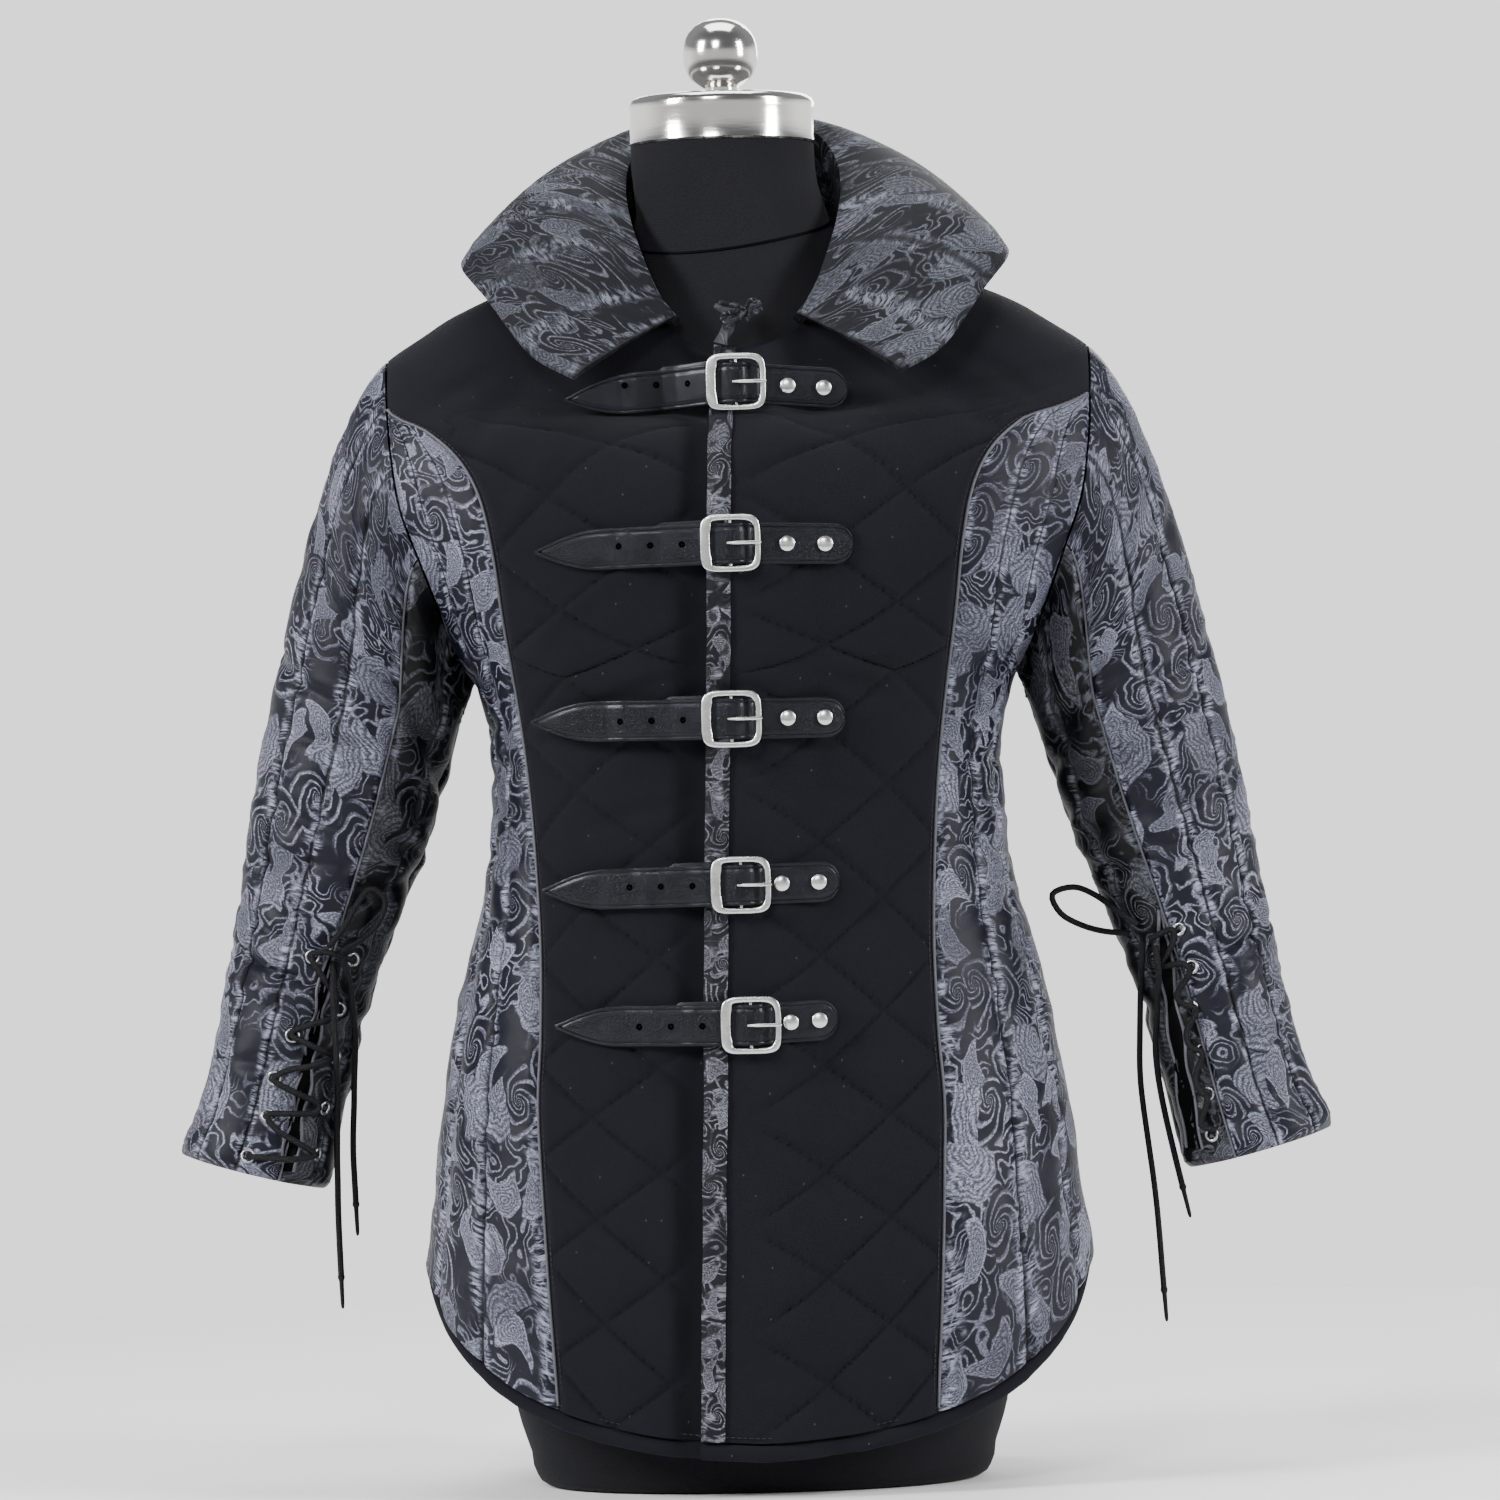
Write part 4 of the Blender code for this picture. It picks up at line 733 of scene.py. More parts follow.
def leather_finish():
    """Black strap leather: fine grain, a soft gloss, and rubbed places."""
    f = Finish("black_leather", roughness=0.35, Coat_Weight=0.05, Coat_Roughness=0.15,
               Specular_IOR_Level=0.22, Specular_Tint=(0.82, 0.86, 1.0, 1.0))
    place = f.object_place()
    grain = f.node("TexVoronoi", {"Vector": place, "Scale": 900.0}, feature="DISTANCE_TO_EDGE")
    pores = f.smooth(Term(f, grain.outputs["Distance"]), 0.0, 0.12)
    rubbed = f.noise(place, 55.0, 4.0, 0.62)
    creases = f.noise(place, 190.0, 3.0)
    colour = f.colour(f.smooth(rubbed, 0.45, 0.8), (0.0015, 0.0015, 0.0022), (0.005, 0.0055, 0.008))
    normal = f.bump(pores * 0.6 + creases * 0.8, 0.0003, 0.5)
    return f.shade(colour, 0.24 + rubbed * 0.18, normal)


def steel_finish(name, low, high):
    """Nickelled steel, a little uneven and dulled."""
    f = Finish(name, roughness=0.25, metallic=1.0)
    place = f.object_place()
    cloudy = f.noise(place, 120.0, 4.0, 0.6)
    scratches = f.noise(place, 900.0, 2.0)
    colour = f.colour(cloudy, low, high)
    return f.shade(colour, 0.17 + cloudy * 0.22, f.bump(scratches + cloudy, 0.0002, 0.3))


def lace_finish():
    """Round braided cord in black."""
    f = Finish("black_lace", roughness=0.6, Specular_IOR_Level=0.16)
    place = f.object_place()
    x, y, z = f.parts(place)
    braid = f.calc("SINE", (x + z) * 2600) * f.calc("SINE", (x - z + y) * 2600)
    fuzz = f.noise(place, 600.0, 2.0)
    colour = f.colour(braid * 0.5 + 0.5, (0.0015, 0.0015, 0.002), (0.006, 0.006, 0.008))
    return f.shade(colour, 0.5 + fuzz * 0.2, f.bump(braid + fuzz * 0.5, 0.0004, 0.7))


def floor_finish():
    f = Finish("pale_floor", roughness=0.6, Specular_IOR_Level=0.2)
    soft = f.noise(f.object_place(), 0.8, 2.0)
    return f.shade(f.colour(soft, (0.82, 0.82, 0.82), (0.86, 0.86, 0.86)))


BROCADE = brocade_finish("brocade", (0.24, 0.25, 0.325), (0.005, 0.0053, 0.0105))
# The same brocade with painted shade, much darker, for the undersleeves on the inner side of the
# arm
BROCADE_PAINTED_SHADE = brocade_finish("brocade_under_arm_painted_shade", (0.085, 0.09, 0.11), (0.0016, 0.0016, 0.0024))
# The same brocade with painted shade for the collar, darker than on the sleeves; it is also rougher
BROCADE_COLLAR_PAINTED_SHADE = brocade_finish("brocade_collar_painted_shade", (0.122, 0.130, 0.160), (0.004, 0.0042, 0.0068),
                                roughness=0.66)
BROCADE_STRIP = brocade_finish("brocade_binding", (0.18, 0.185, 0.22), (0.005, 0.005, 0.008), 0.02)
COTTON = cotton_finish()
JERSEY = jersey_finish()
CHROME = chrome_finish()
LEATHER = leather_finish()
STEEL = steel_finish("buckle_steel", (0.50, 0.50, 0.49), (0.78, 0.78, 0.77))
DARK_STEEL = steel_finish("eyelet_steel", (0.20, 0.20, 0.21), (0.42, 0.42, 0.43))
LACE = lace_finish()


def thread_finish(name, low, high, shine=0.3):
    """Spun thread, or a thin folded edge of cloth."""
    f = Finish(name, roughness=0.6, Specular_IOR_Level=shine)
    place = f.object_place()
    twist = f.noise(place, 900.0, 2.0)
    return f.shade(f.colour(twist, low, high), 0.5 + twist * 0.2, f.bump(twist, 0.0002, 0.5))


THREAD = thread_finish("black_thread", (0.006, 0.006, 0.008), (0.02, 0.02, 0.026))
# Painted highlight: the piping is coloured much lighter than the cloth beside it, for the light on
# its raised edges
PIPING_PAINTED_HIGHLIGHT = thread_finish("folded_piping_painted_highlight", (0.03, 0.03, 0.038), (0.11, 0.112, 0.13))
# Near black: the form's dark neck seam, and painted shade for the sleeve slits' opening
SEAM_BLACK_AND_GAP_SHADE = thread_finish("black_seam_and_gap_shade", (0.0008, 0.0008, 0.001), (0.002, 0.002, 0.0025), 0.03)
# Near black for the strap holes: the black coat beneath them, and painted shade in them
HOLE = thread_finish("strap_hole", (0.0005, 0.0005, 0.0005), (0.001, 0.001, 0.001), 0.0)


# The coat's body

def edge_dip(from_seam, reach):
    """Rounds cloth down over its last few millimetres before a seam."""
    return -1.3 * np.exp(-(from_seam / reach) ** 2)


# How far from a seam the cloth lies flat before its quilting or its channels rise
QUILT_FLAT = 9
CHANNEL_FLAT = 5
# How far from the armhole a wall's inner face still leans to its middle
LEAN_REACH = 14
# How much thinner a side's wall is at its top end
TOP_THINNING = 4.6

# How strongly the folds of each panel show
FRONT_FOLD = 0.8
SIDE_FOLD = 1.3
SLEEVE_FOLD = 1.5
FRONT_FOLDS = (
    # across, up, turn, half length, half width, height
    (-92, 545, 24, 60, 9, -2.2), (78, 552, -22, 56, 9, -2.0), (-70, 470, 12, 50, 8, -1.8),
    (66, 478, -10, 48, 8, -1.6), (-118, 610, 38, 50, 10, 2.0), (98, 618, -40, 46, 10, 1.8),
    (-60, 395, -14, 52, 10, -1.6), (88, 402, 16, 50, 9, -1.5), (-175, 735, 52, 52, 12, -2.6),
    (160, 738, -54, 50, 12, -2.4), (-140, 700, 60, 44, 11, 2.0), (128, 690, -58, 44, 11, 1.9),
    (-95, 180, 82, 70, 14, 1.6), (84, 150, 98, 70, 14, 1.6), (-40, 110, 84, 54, 12, -1.4),
    (40, 230, 100, 60, 13, -1.4), (-190, 765, 30, 40, 9, -1.8), (176, 770, -32, 40, 9, -1.8),
)
BACK_FOLDS = (
    (-96, 540, -18, 62, 10, -3.0), (90, 532, 20, 60, 10, -2.8), (0, 500, 3, 74, 11, -3.4),
    (-44, 470, -10, 54, 9, -2.4), (52, 458, 12, 52, 9, -2.2), (8, 540, -4, 60, 10, 2.2),
    (-150, 620, -46, 58, 12, -3.0), (148, 628, 44, 58, 12, -2.8), (-120, 700, -62, 56, 13, 2.6),
    (124, 706, 60, 56, 13, 2.4), (-60, 240, 84, 90, 18, 2.8), (66, 220, 96, 90, 18, 2.6),
    (0, 160, 90, 80, 16, -2.6), (-104, 150, 86, 60, 14, -2.0), (110, 170, 94, 64, 14, -2.2),
)
SIDE_FOLDS = (
    (0, 500, 6, 40, 8, -2.6), (12, 470, -8, 38, 7, -2.2), (-10, 530, 14, 36, 7, -2.0),
    (4, 440, -4, 40, 8, -1.9), (-6, 570, 20, 34, 7, -2.0), (8, 400, 8, 40, 9, -1.6),
    (-8, 340, -6, 40, 9, 1.4), (6, 260, 10, 42, 10, -1.5), (-4, 190, -12, 40, 10, 1.3),
)


def wall_of(base, normal, rise, thick, toward, pull):
    """Outer and inner faces from a base surface, its normals and its heights. The inner face
    leans toward a middle point by the share that pull gives."""
    outer = base + normal * rise[..., None]
    inner = base - normal * np.broadcast_to(thick, rise.shape)[..., None]
    return outer, mix(inner, base + unit(toward - base) * WALL, pull[..., None])


def armhole_pull(row, from_edge, side_of):
    """Near the armhole the inner face leans to the armhole's middle."""
    inside = (row >= SEAM_END_ROW - 0.3) & (row <= ARMHOLE_LAST + 0.2)
    pull = (1 - ease(0, LEAN_REACH, from_edge)) * inside
    ones = np.ones_like(side_of)
    return np.array(ARMHOLE_MIDDLE) * np.stack([side_of, ones, ones], -1), pull


def distances(points):
    """Distance of each point along its row, from the row's first and last points."""
    run = running(np.linalg.norm(np.diff(points, axis=1), axis=-1), 1)
    return run, run[:, -1:] - run


def lap_lift(x):
    """How far the left front stands off, over the right front's edge and beside it."""
    return LAP_LIFT * (1 - ease(UNDERLAP_END + 12, UNDERLAP_END + 44, x))


def front_panel(side, name):
    """One quilted front, from its princess seam to its edge at the lap."""
    row, column = grid((0, ROWS - 1, 340), (0, FRONT_COLUMNS + 1, 76))
    level = row_level(row)
    seam = seam_angle(row, side, False)
    middle = angle_at(COAT_MIDDLE + 0 * level, level)
    if side > 0:
        start = angle_at(read(LAP_EDGE, level)[..., 0], level)
        angle = np.where(column < 1, mix(start, middle, column),
                         mix(middle, seam, (column - 1) / FRONT_COLUMNS))
        lattice = column - 1
    else:
        end = angle_at(UNDERLAP_END + 0 * level, level)
        angle = np.where(column < FRONT_COLUMNS, mix(-seam, middle, column / FRONT_COLUMNS),
                         mix(middle, end, column - FRONT_COLUMNS))
        lattice = FRONT_COLUMNS - column
    share = np.clip(lattice - FRONT_COLUMNS + 1, 0, 1)
    angle = shift_angle(angle, row_level(row, angle), -side * SEAM_GAP / 2 * share)
    level = row_level(row, angle)
    base, normal = coat_face(angle, level)
    run, back_run = distances(base)
    from_seam = back_run if side > 0 else run
    fade = 1 - ease(SEAM_AT_ARMHOLE - 60, SHOULDER_TIP, level)
    settle = ease(0, QUILT_FLAT, from_seam)
    height = pillow(lattice, row) * fade * settle
    height += folds(base[..., 0], base[..., 2], FRONT_FOLDS) * settle * FRONT_FOLD
    height += 0.35 * soft_noise(base[..., 0] / 17, base[..., 2] / 13) * settle
    height += edge_dip(from_seam, 2.2)
    if side > 0:
        flat = ease(UNDERLAP_END - 22, UNDERLAP_END + 10, base[..., 0])
        lift = lap_lift(base[..., 0])
        rise = height * flat + lift
        thick = WALL - lift
    else:
        edge = read(LAP_EDGE, level)[..., 0]
        pressed = ease(edge - LAP_PRESS_FROM, edge - LAP_PRESS_TO, base[..., 0])
        rise = height * (1 - pressed) - LAP_PRESS * pressed
        thick = WALL
    middle_of, pull = armhole_pull(row, from_seam, side * np.ones_like(row))
    outer, inner = wall_of(base, normal, rise, thick, middle_of, pull)
    return shell(name, outer, inner, COTTON)


def back_panel(name):
    """The quilted back between its two long seams."""
    row, column = grid((0, ROWS - 1, 280), (0, BACK_COLUMNS, 124))
    seam = seam_angle(row, 1, True)
    angle = mix(seam, 2 * np.pi - seam, column / BACK_COLUMNS)
    angle = part_from_seams(angle, row, column, BACK_COLUMNS)
    level = row_level(row, angle)
    base, normal = coat_face(angle, level)
    run, back_run = distances(base)
    from_seam = np.minimum(run, back_run)
    settle = ease(0, QUILT_FLAT, from_seam)
    fade = 1 - ease(SEAM_AT_ARMHOLE - 20, SHOULDER_TIP + 20, level)
    height = pillow(column - BACK_COLUMNS / 2, row) * fade * settle
    height += folds(base[..., 0], base[..., 2], BACK_FOLDS) * settle
    height += 0.35 * soft_noise(base[..., 0] / 17 + 9, base[..., 2] / 13) * settle
    height = np.maximum(height + edge_dip(from_seam, 2.2), DEEPEST)
    middle_of, pull = armhole_pull(row, from_seam, np.sign(base[..., 0] + 1e-6))
    outer, inner = wall_of(base, normal, height, WALL, middle_of, pull)
    return shell(name, outer, inner, COTTON)


def side_panel(side, behind, name):
    """A brocade side with upright channels, from a long seam to the line under the arm."""
    row, column = grid((0, SEAM_END_ROW - 0.03, 310), (0, SIDE_COLUMNS, 61))
    start = seam_angle(row, side, behind)
    arm = armhole_angle(row)
    arm = np.pi - arm if behind else arm
    end = np.where(row <= ARMHOLE_FIRST, np.pi / 2, arm)
    if (side > 0) == behind:
        start, end = end, start
    angle = side * mix(start, end, column / SIDE_COLUMNS)
    angle = part_from_seams(angle, row, column, SIDE_COLUMNS)
    level = row_level(row, angle)
    base, normal = coat_face(angle, level)
    run, back_run = distances(base)
    from_seam = np.minimum(run, back_run)
    narrow = 1 - ease(UNDERARM - 10, UNDERARM + 90, level)
    settle = ease(0, CHANNEL_FLAT, from_seam)
    height, near, line = channel(column / 2, level, 3.1 * side + 1.7 * behind + 11)
    height *= 0.25 + 0.75 * narrow
    height += folds(run - run[:, -1:] / 2, level, SIDE_FOLDS) * settle * narrow * SIDE_FOLD
    height = np.maximum(height * settle + edge_dip(from_seam, 1.8), DEEPEST)
    from_arm = back_run if (side > 0) != behind else run
    middle_of, _ = armhole_pull(row, from_arm, side * np.ones_like(row))
    pull = (1 - ease(0, LEAN_REACH, from_arm)) * (row >= ARMHOLE_FIRST - 0.3)
    pull = pull * ease(ARMHOLE_FIRST - 0.5, ARMHOLE_FIRST + 0.5, row)
    pull = pull * (1 - ease(SEAM_END_ROW - 0.6, SEAM_END_ROW - 0.2, row))
    thick = WALL - TOP_THINNING * ease(SEAM_END_ROW - 1, SEAM_END_ROW - 0.1, row)
    outer, inner = wall_of(base, normal, height, thick, middle_of, pull)
    return shell(name, outer, inner, BROCADE, (0.31 * side + 0.9, 0.23 * behind),
                 {"pull": near, "line": line * settle})


# Sleeves

def sleeve_angle(step):
    share = np.where(step <= ARMHOLE_ROWS, step, 2 * ARMHOLE_ROWS - step) / ARMHOLE_ROWS
    turn = np.pi * np.clip(share, 0, 1) ** 0.9
    return np.where(step <= ARMHOLE_ROWS, turn, 2 * np.pi - turn)


def sleeve_ring_point(place, step, side, inset):
    """A point at a place along the sleeve's rings, where 0 is the one below the cap."""
    table = [(index, *ring) for index, ring in enumerate(SLEEVE_RINGS)]
    values = read(table, place)
    angle = sleeve_angle(step)
    outward = np.array((-SLEEVE_AXIS[2], 0, SLEEVE_AXIS[0]))
    centre = np.stack([values[..., 1], values[..., 2], values[..., 0]], -1)
    point = centre + outward * (np.cos(angle) * (values[..., 3] - inset))[..., None]
    point[..., 1] -= np.sin(angle) * (values[..., 4] - inset)
    point[..., 0] *= side
    return point


def sleeve_start(step, side, inset):
    """The armhole end of the lines that run down the sleeve."""
    behind = step > ARMHOLE_ROWS
    row = np.where(behind, ARMHOLE_LAST - (2 * ARMHOLE_ROWS - step), ARMHOLE_LAST - step)
    angle = armhole_angle(row)
    angle = np.where(behind, np.pi - angle, angle)
    point = coat_point(angle, row_level(row))
    inward = unit(np.array(ARMHOLE_MIDDLE, float) - point)
    point = point + inward * inset + np.array((SEAM_GAP, 0, 0))
    point[..., 0] *= side
    return point


def sleeve_point(line, step, side, inset):
    """Points of the sleeve: the cap's lines first, then its rings."""
    below = sleeve_ring_point(np.maximum(line - CAP_RINGS, 0), step, side, inset)
    start = sleeve_start(step, side, inset)
    end = sleeve_ring_point(0 * line, step, side, inset)
    reach = np.linalg.norm(end - start, axis=-1, keepdims=True) * CAP_PULL
    above = np.minimum(1.0, 1 + np.cos(sleeve_angle(step)))
    leave = np.stack([side * mix(0.45, 0.8, above), 0 * above, mix(-0.9, -0.6, above)], -1) * reach
    arrive = np.array((side * SLEEVE_AXIS[0], 0, SLEEVE_AXIS[2])) * reach
    t = np.clip(line / CAP_RINGS, 0, 1)[..., None]
    cap = cubic(start, end, leave, arrive, t)
    return np.where((line >= CAP_RINGS)[..., None], below, cap)


# Folds of a sleeve: millimetres round it from its inner side, less than nothing towards the
# front, then millimetres down it, and the rest as on the coat's body
SLEEVE_FOLDS = (
    (-64, 150, 12, 60, 10, -3.4), (-58, 190, -8, 56, 9, -3.0), (-70, 235, 16, 52, 9, -2.8),
    (40, 120, 70, 60, 12, -2.4), (-30, 90, 40, 60, 12, -3.0), (-20, 150, 26, 56, 11, 2.4),
    (96, 215, -10, 46, 9, -2.4), (120, 240, 8, 44, 9, 2.0), (-100, 270, 4, 60, 9, -2.8),
    (-110, 300, -12, 56, 9, -2.4), (60, 260, 12, 50, 10, -2.2), (0, 285, -6, 60, 10, -2.4),
    (30, 330, 10, 50, 9, 1.8), (150, 150, 20, 60, 12, -2.6), (150, 300, -14, 60, 11, -2.2),
    (-40, 400, 16, 46, 9, -1.9), (80, 420, -12, 46, 9, -1.8), (-90, 470, 8, 44, 9, -1.6),
    (20, 490, -10, 40, 8, 1.5), (190, 420, 12, 50, 10, -1.8), (-120, 60, 60, 50, 11, -2.6),
    (100, 70, -60, 50, 11, -2.2), (-72, 350, 10, 44, 8, -2.0), (-60, 120, -14, 50, 9, -2.6),
    (-118, 377, 5, 46, 5, -3.0), (-112, 392, -4, 40, 6, 2.2), (-126, 350, 12, 40, 6, -2.2),
    (-98, 212, -10, 40, 7, -2.8), (-132, 180, 14, 44, 7, -2.4), (-112, 122, 24, 44, 8, -2.8),
    (-104, 440, -16, 36, 6, -1.8), (-140, 520, 8, 36, 7, -1.4),
)


def sleeve_part(side, first, last, name, finish, columns_count, offset):
    """A part of a sleeve between two of the steps round it, from the armhole to the cuff."""
    line, step = grid((0, SLEEVE_LINES, 250), (first, last, columns_count))
    around = step % SLEEVE_COLUMNS
    base = sleeve_point(line, around, side, 0)
    inside = sleeve_point(line, around, side, WALL)
    outward = unit(base - inside)
    run, back_run = distances(base)
    ends = np.minimum(run, back_run)
    drawn_in = (run < 5) * (1 - run / 5) - (back_run < 5) * (1 - back_run / 5)
    shift = unit(np.gradient(base, axis=1)) * (SEAM_GAP * 1.4 * drawn_in)[..., None]
    steps_down = np.linalg.norm(np.diff(base, axis=0), axis=-1).mean(1)
    down = running(steps_down)[:, None] + 0 * step
    height, near, line_mark = channel(step / SLEEVE_CHANNEL, down, 2.3 * side + 5)
    around_mm = (step - SLEEVE_COLUMNS * (step > SLEEVE_COLUMNS)) * SLEEVE_STEP
    fade = ease(0, 1.6, line)
    cuff = ease(SLEEVE_LINES, SLEEVE_LINES - 0.18, line)
    settle = ease(0, CHANNEL_FLAT, ends)
    creases = folds(around_mm - SLEEVE_MIDDLE, down, SLEEVE_FOLDS) * settle * SLEEVE_FOLD
    height = height * settle * cuff + creases + edge_dip(ends, 1.8)
    height = height - 1.2 * np.exp(-((SLEEVE_LINES - line) / 0.02) ** 2)
    height = np.maximum(height, DEEPEST)
    outer = base + outward * (height * fade)[..., None] + shift
    # A turned hem at the cuff: one stitched dip a little above the edge
    from_cuff = down[-1:] - down
    sunk = 0.9 * np.exp(-((from_cuff - CUFF_STITCH) / 1.6) ** 2)
    outer -= outward * (sunk * settle)[..., None]
    stitched = 0.8 * np.exp(-((from_cuff - CUFF_STITCH) / 0.6) ** 2)
    return shell(name, outer, inside + shift, finish, offset,
                 {"pull": near, "line": np.maximum(line_mark * settle, stitched)})


# Collar

def collar_frame(place):
    values = read(COLLAR_STATIONS, (1 - np.abs(place)) * (len(COLLAR_STATIONS) - 1))
    side = np.where(place < 0, -1.0, 1.0)
    turn = np.radians(mix(180, COLLAR_FRONT_ANGLE, np.abs(place)))
    seam = coat_point(side * turn, NECKLINE + 0 * place) + np.array((0, 0, COLLAR_SEAM_LIFT))
    flip = np.stack([side, 1 + 0 * side, 1 + 0 * side], -1)
    return seam, values[..., 0:3] * flip, values[..., 3:6] * flip, values[..., 6]


def collar_point(place, line):
    seam, roll, edge, swell = collar_frame(place)
    stand = mix(seam, roll, np.clip(line / COLLAR_STAND_LINES, 0, 1)[..., None])
    share = np.clip((line - COLLAR_STAND_LINES) / COLLAR_FALL_LINES, 0, 1)[..., None]
    out = unit((edge - roll) * np.array((1, 1, 0)))
    swell = swell[..., None]
    crest = mix(roll, edge, 0.42) + swell * 1.5 * np.array((0, 0, 1)) + out * swell * 0.5
    fall = (1 - share) ** 2 * roll + 2 * share * (1 - share) * crest + share ** 2 * edge
    return np.where((line <= COLLAR_STAND_LINES)[..., None], stand, fall)


def collar_piece(name):
    """The collar's stand and fall in one, with its channels."""
    lines_count = COLLAR_STAND_LINES + COLLAR_FALL_LINES
    line, place = grid((0, lines_count, 110), (-1, 1, 420))
    base = collar_point(place, line)
    before, after = np.maximum(place - 0.02, -1), np.minimum(place + 0.02, 1)
    across = collar_point(after, line) - collar_point(before, line)
    low, high = np.maximum(line - 0.5, 0), np.minimum(line + 0.5, lines_count)
    along = collar_point(place, high) - collar_point(place, low)
    normal = unit(np.cross(along, across))
    run = running(np.linalg.norm(np.diff(base, axis=0), axis=-1))
    height, near, line_mark = channel((place + 1) / 2 * COLLAR_CHANNELS, run, 31.0)
    height *= COLLAR_PUFF
    to_edge = run[-1:] - run
    rim = np.minimum(np.minimum(*distances(base)), to_edge)
    height *= ease(0, 2, line) * ease(0, 9, rim)
    height += edge_dip(rim, 3.0)
    outer = base + normal * height[..., None]
    inner = base - normal * (COLLAR_WALL - 2.0 * np.exp(-(to_edge / 4) ** 2))[..., None]
    return shell(name, outer, inner, BROCADE_COLLAR_PAINTED_SHADE, (0.1, 1.7),
                 {"pull": near, "line": line_mark})


def edge_strip(name):
    """The binding on the lapped edge, its long sides turned under."""
    row, column = grid((0, ROWS - 1, 420), (0, 1, 13))
    level = row_level(row)
    x = read(LAP_EDGE, level)[..., 0] + 0.6 + BINDING_WIDTH * column
    x = x + 0.5 * soft_noise(level / 21, column * 0 + 4)
    angle = angle_at(x, level)
    height = row_level(row, angle)
    base, normal = coat_face(angle, height)
    stand = lap_lift(base[..., 0]) + 1.0
    edge = np.minimum(column, 1 - column) * BINDING_WIDTH
    puffed = 1.0 + 0.7 * ease(0, 2.4, edge) + 0.45 * soft_noise(column * 2 + 3, level / 9)
    pinched = 0.5 * np.exp(-((edge - 2.2) / 0.8) ** 2)
    crease = soft_noise(column * 1.6 + level / 16, level / 6.5 - column * 1.3)
    inside = ease(0, 2.5, edge)
    puffed = puffed + 0.55 * crease * inside
    outer = base + normal * (stand + puffed - pinched)[..., None]
    # The finish paints highlight on the creases' crests (pull) and shade in their troughs (line)
    marks = {"pull": np.clip(crease, 0, 1), "line": ease(0.35, 0.75, -crease) * inside}
    return shell(name, outer, base + normal * stand[..., None], BROCADE_STRIP, (0.4, 0.6), marks)


def hem_roll(name, start, end, count, kind):
    """The bound roll below a stretch of the hem; kind says whose inner and outer faces it has."""
    angle = np.linspace(start, end, count)
    top, low = hem_height(angle) - 1.4, hem_height(angle) - HEM_BAND
    base, normal = coat_point(angle, top), coat_normal(angle, top + 6)
    x = base[:, 0]
    if kind == "left":
        inside, outside = lap_lift(x) - WALL, lap_lift(x)
    elif kind == "right":
        edge = read(LAP_EDGE, base[:, 2])[:, 0]
        pressed = ease(edge - LAP_PRESS_FROM, edge - LAP_PRESS_TO, x)
        inside, outside = -WALL + 0 * x, -LAP_PRESS * pressed
    else:
        inside, outside = -WALL + 0 * x, 0 * x
    rings = []
    for turn in turns(20):
        share = (1 - math.cos(turn)) / 2
        out = math.sin(turn)
        middle = (inside + outside) / 2
        reach = (outside - inside) / 2 + (1.5 if out > 0 else 0.0)
        point = base + normal * (middle + signed_power(out, 0.6) * reach)[:, None]
        wave = 0.4 * soft_noise(angle * 24, 0 * angle + 2)
        point[:, 2] = mix(top, low, share) + wave * share
        rings.append(point)
    return lofted(name, np.array(rings).transpose(1, 0, 2), COTTON, 60)


# The form

def form_piece(name):
    """The limbless form: a rounded foot, the body and the neck."""
    columns = turns(120)
    levels = np.concatenate([np.linspace(14, 480, 50), np.linspace(490, 870, 60)])
    rings = []

    def ring(level):
        inset = read(FORM_INSETS, np.array(level, float))
        point = coat_point(columns, level + 0 * columns, inset[0], inset[1])
        reach = np.abs(point[:, 0]) / FORM_ARM_PLATE
        point[:, 0] = np.sign(point[:, 0]) * FORM_ARM_PLATE * reach / (1 + reach**14) ** (1 / 14)
        point[:, 2] -= FORM_DROP * ease(740, 800, level)
        return point

    lowest = ring(14)
    for height, share in FORM_FOOT:
        rings.append(lowest * np.array((share, share, 0)) + np.array((0, 0, height)))
    rings += [ring(level) for level in levels]
    for height, radius, middle in FORM_NECK:
        shift = NECK_X * ease(870, 920, height)
        rings.append(np.stack([shift + radius * np.sin(columns), middle - radius * np.cos(columns),
                               height + 0 * columns], -1))
    return lofted(name, np.array(rings), JERSEY, 60)


def fine_copy(node, name, finish, width=0.7):
    """A smooth-edged copy of a CAD node, to stand for it."""
    tool = bmesh.new()
    tool.from_mesh(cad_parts[node].data)
    bmesh.ops.remove_doubles(tool, verts=tool.verts, dist=1e-5)
    bmesh.ops.dissolve_limit(tool, angle_limit=math.radians(1), verts=tool.verts, edges=tool.edges)
    mesh = bpy.data.meshes.new(name)
    tool.to_mesh(mesh)
    tool.free()
    made = new_object(name, mesh, finish)
    bevel = made.modifiers.new("edges", "BEVEL")
    bevel.width = width * MM
    bevel.segments = 2
    bevel.angle_limit = math.radians(35)
    bevel.use_clamp_overlap = True
    finished = plain_mesh(made)
    made.modifiers.clear()
    made.data = finished
    finished.name = name
    finished.shade_smooth()
    finished.set_sharp_from_angle(angle=math.radians(40))
    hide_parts(node)
    return made


# Buckles and rivets

# A rivet's head: shares of its height and of its radius
RIVET_PROFILE = ((0.0, 0.96), (0.25, 1.0), (0.45, 0.99), (0.62, 0.86), (0.8, 0.66), (0.92, 0.42),
                 (0.985, 0.2), (1.0, 0.02))
BUCKLE_HALF = (20.5, 19.5)
BUCKLE_SQUARE = 4.8
BUCKLE_WIDTHS = (3.9, 6.8)
BUCKLE_THICK_HALF = 1.6
BAR_RADIUS = 1.1
BAR_HALF = 16
STRAP_ROUND = 13.0
STRAP_END_HALF = 14
STRAP_SMOOTHINGS = 6
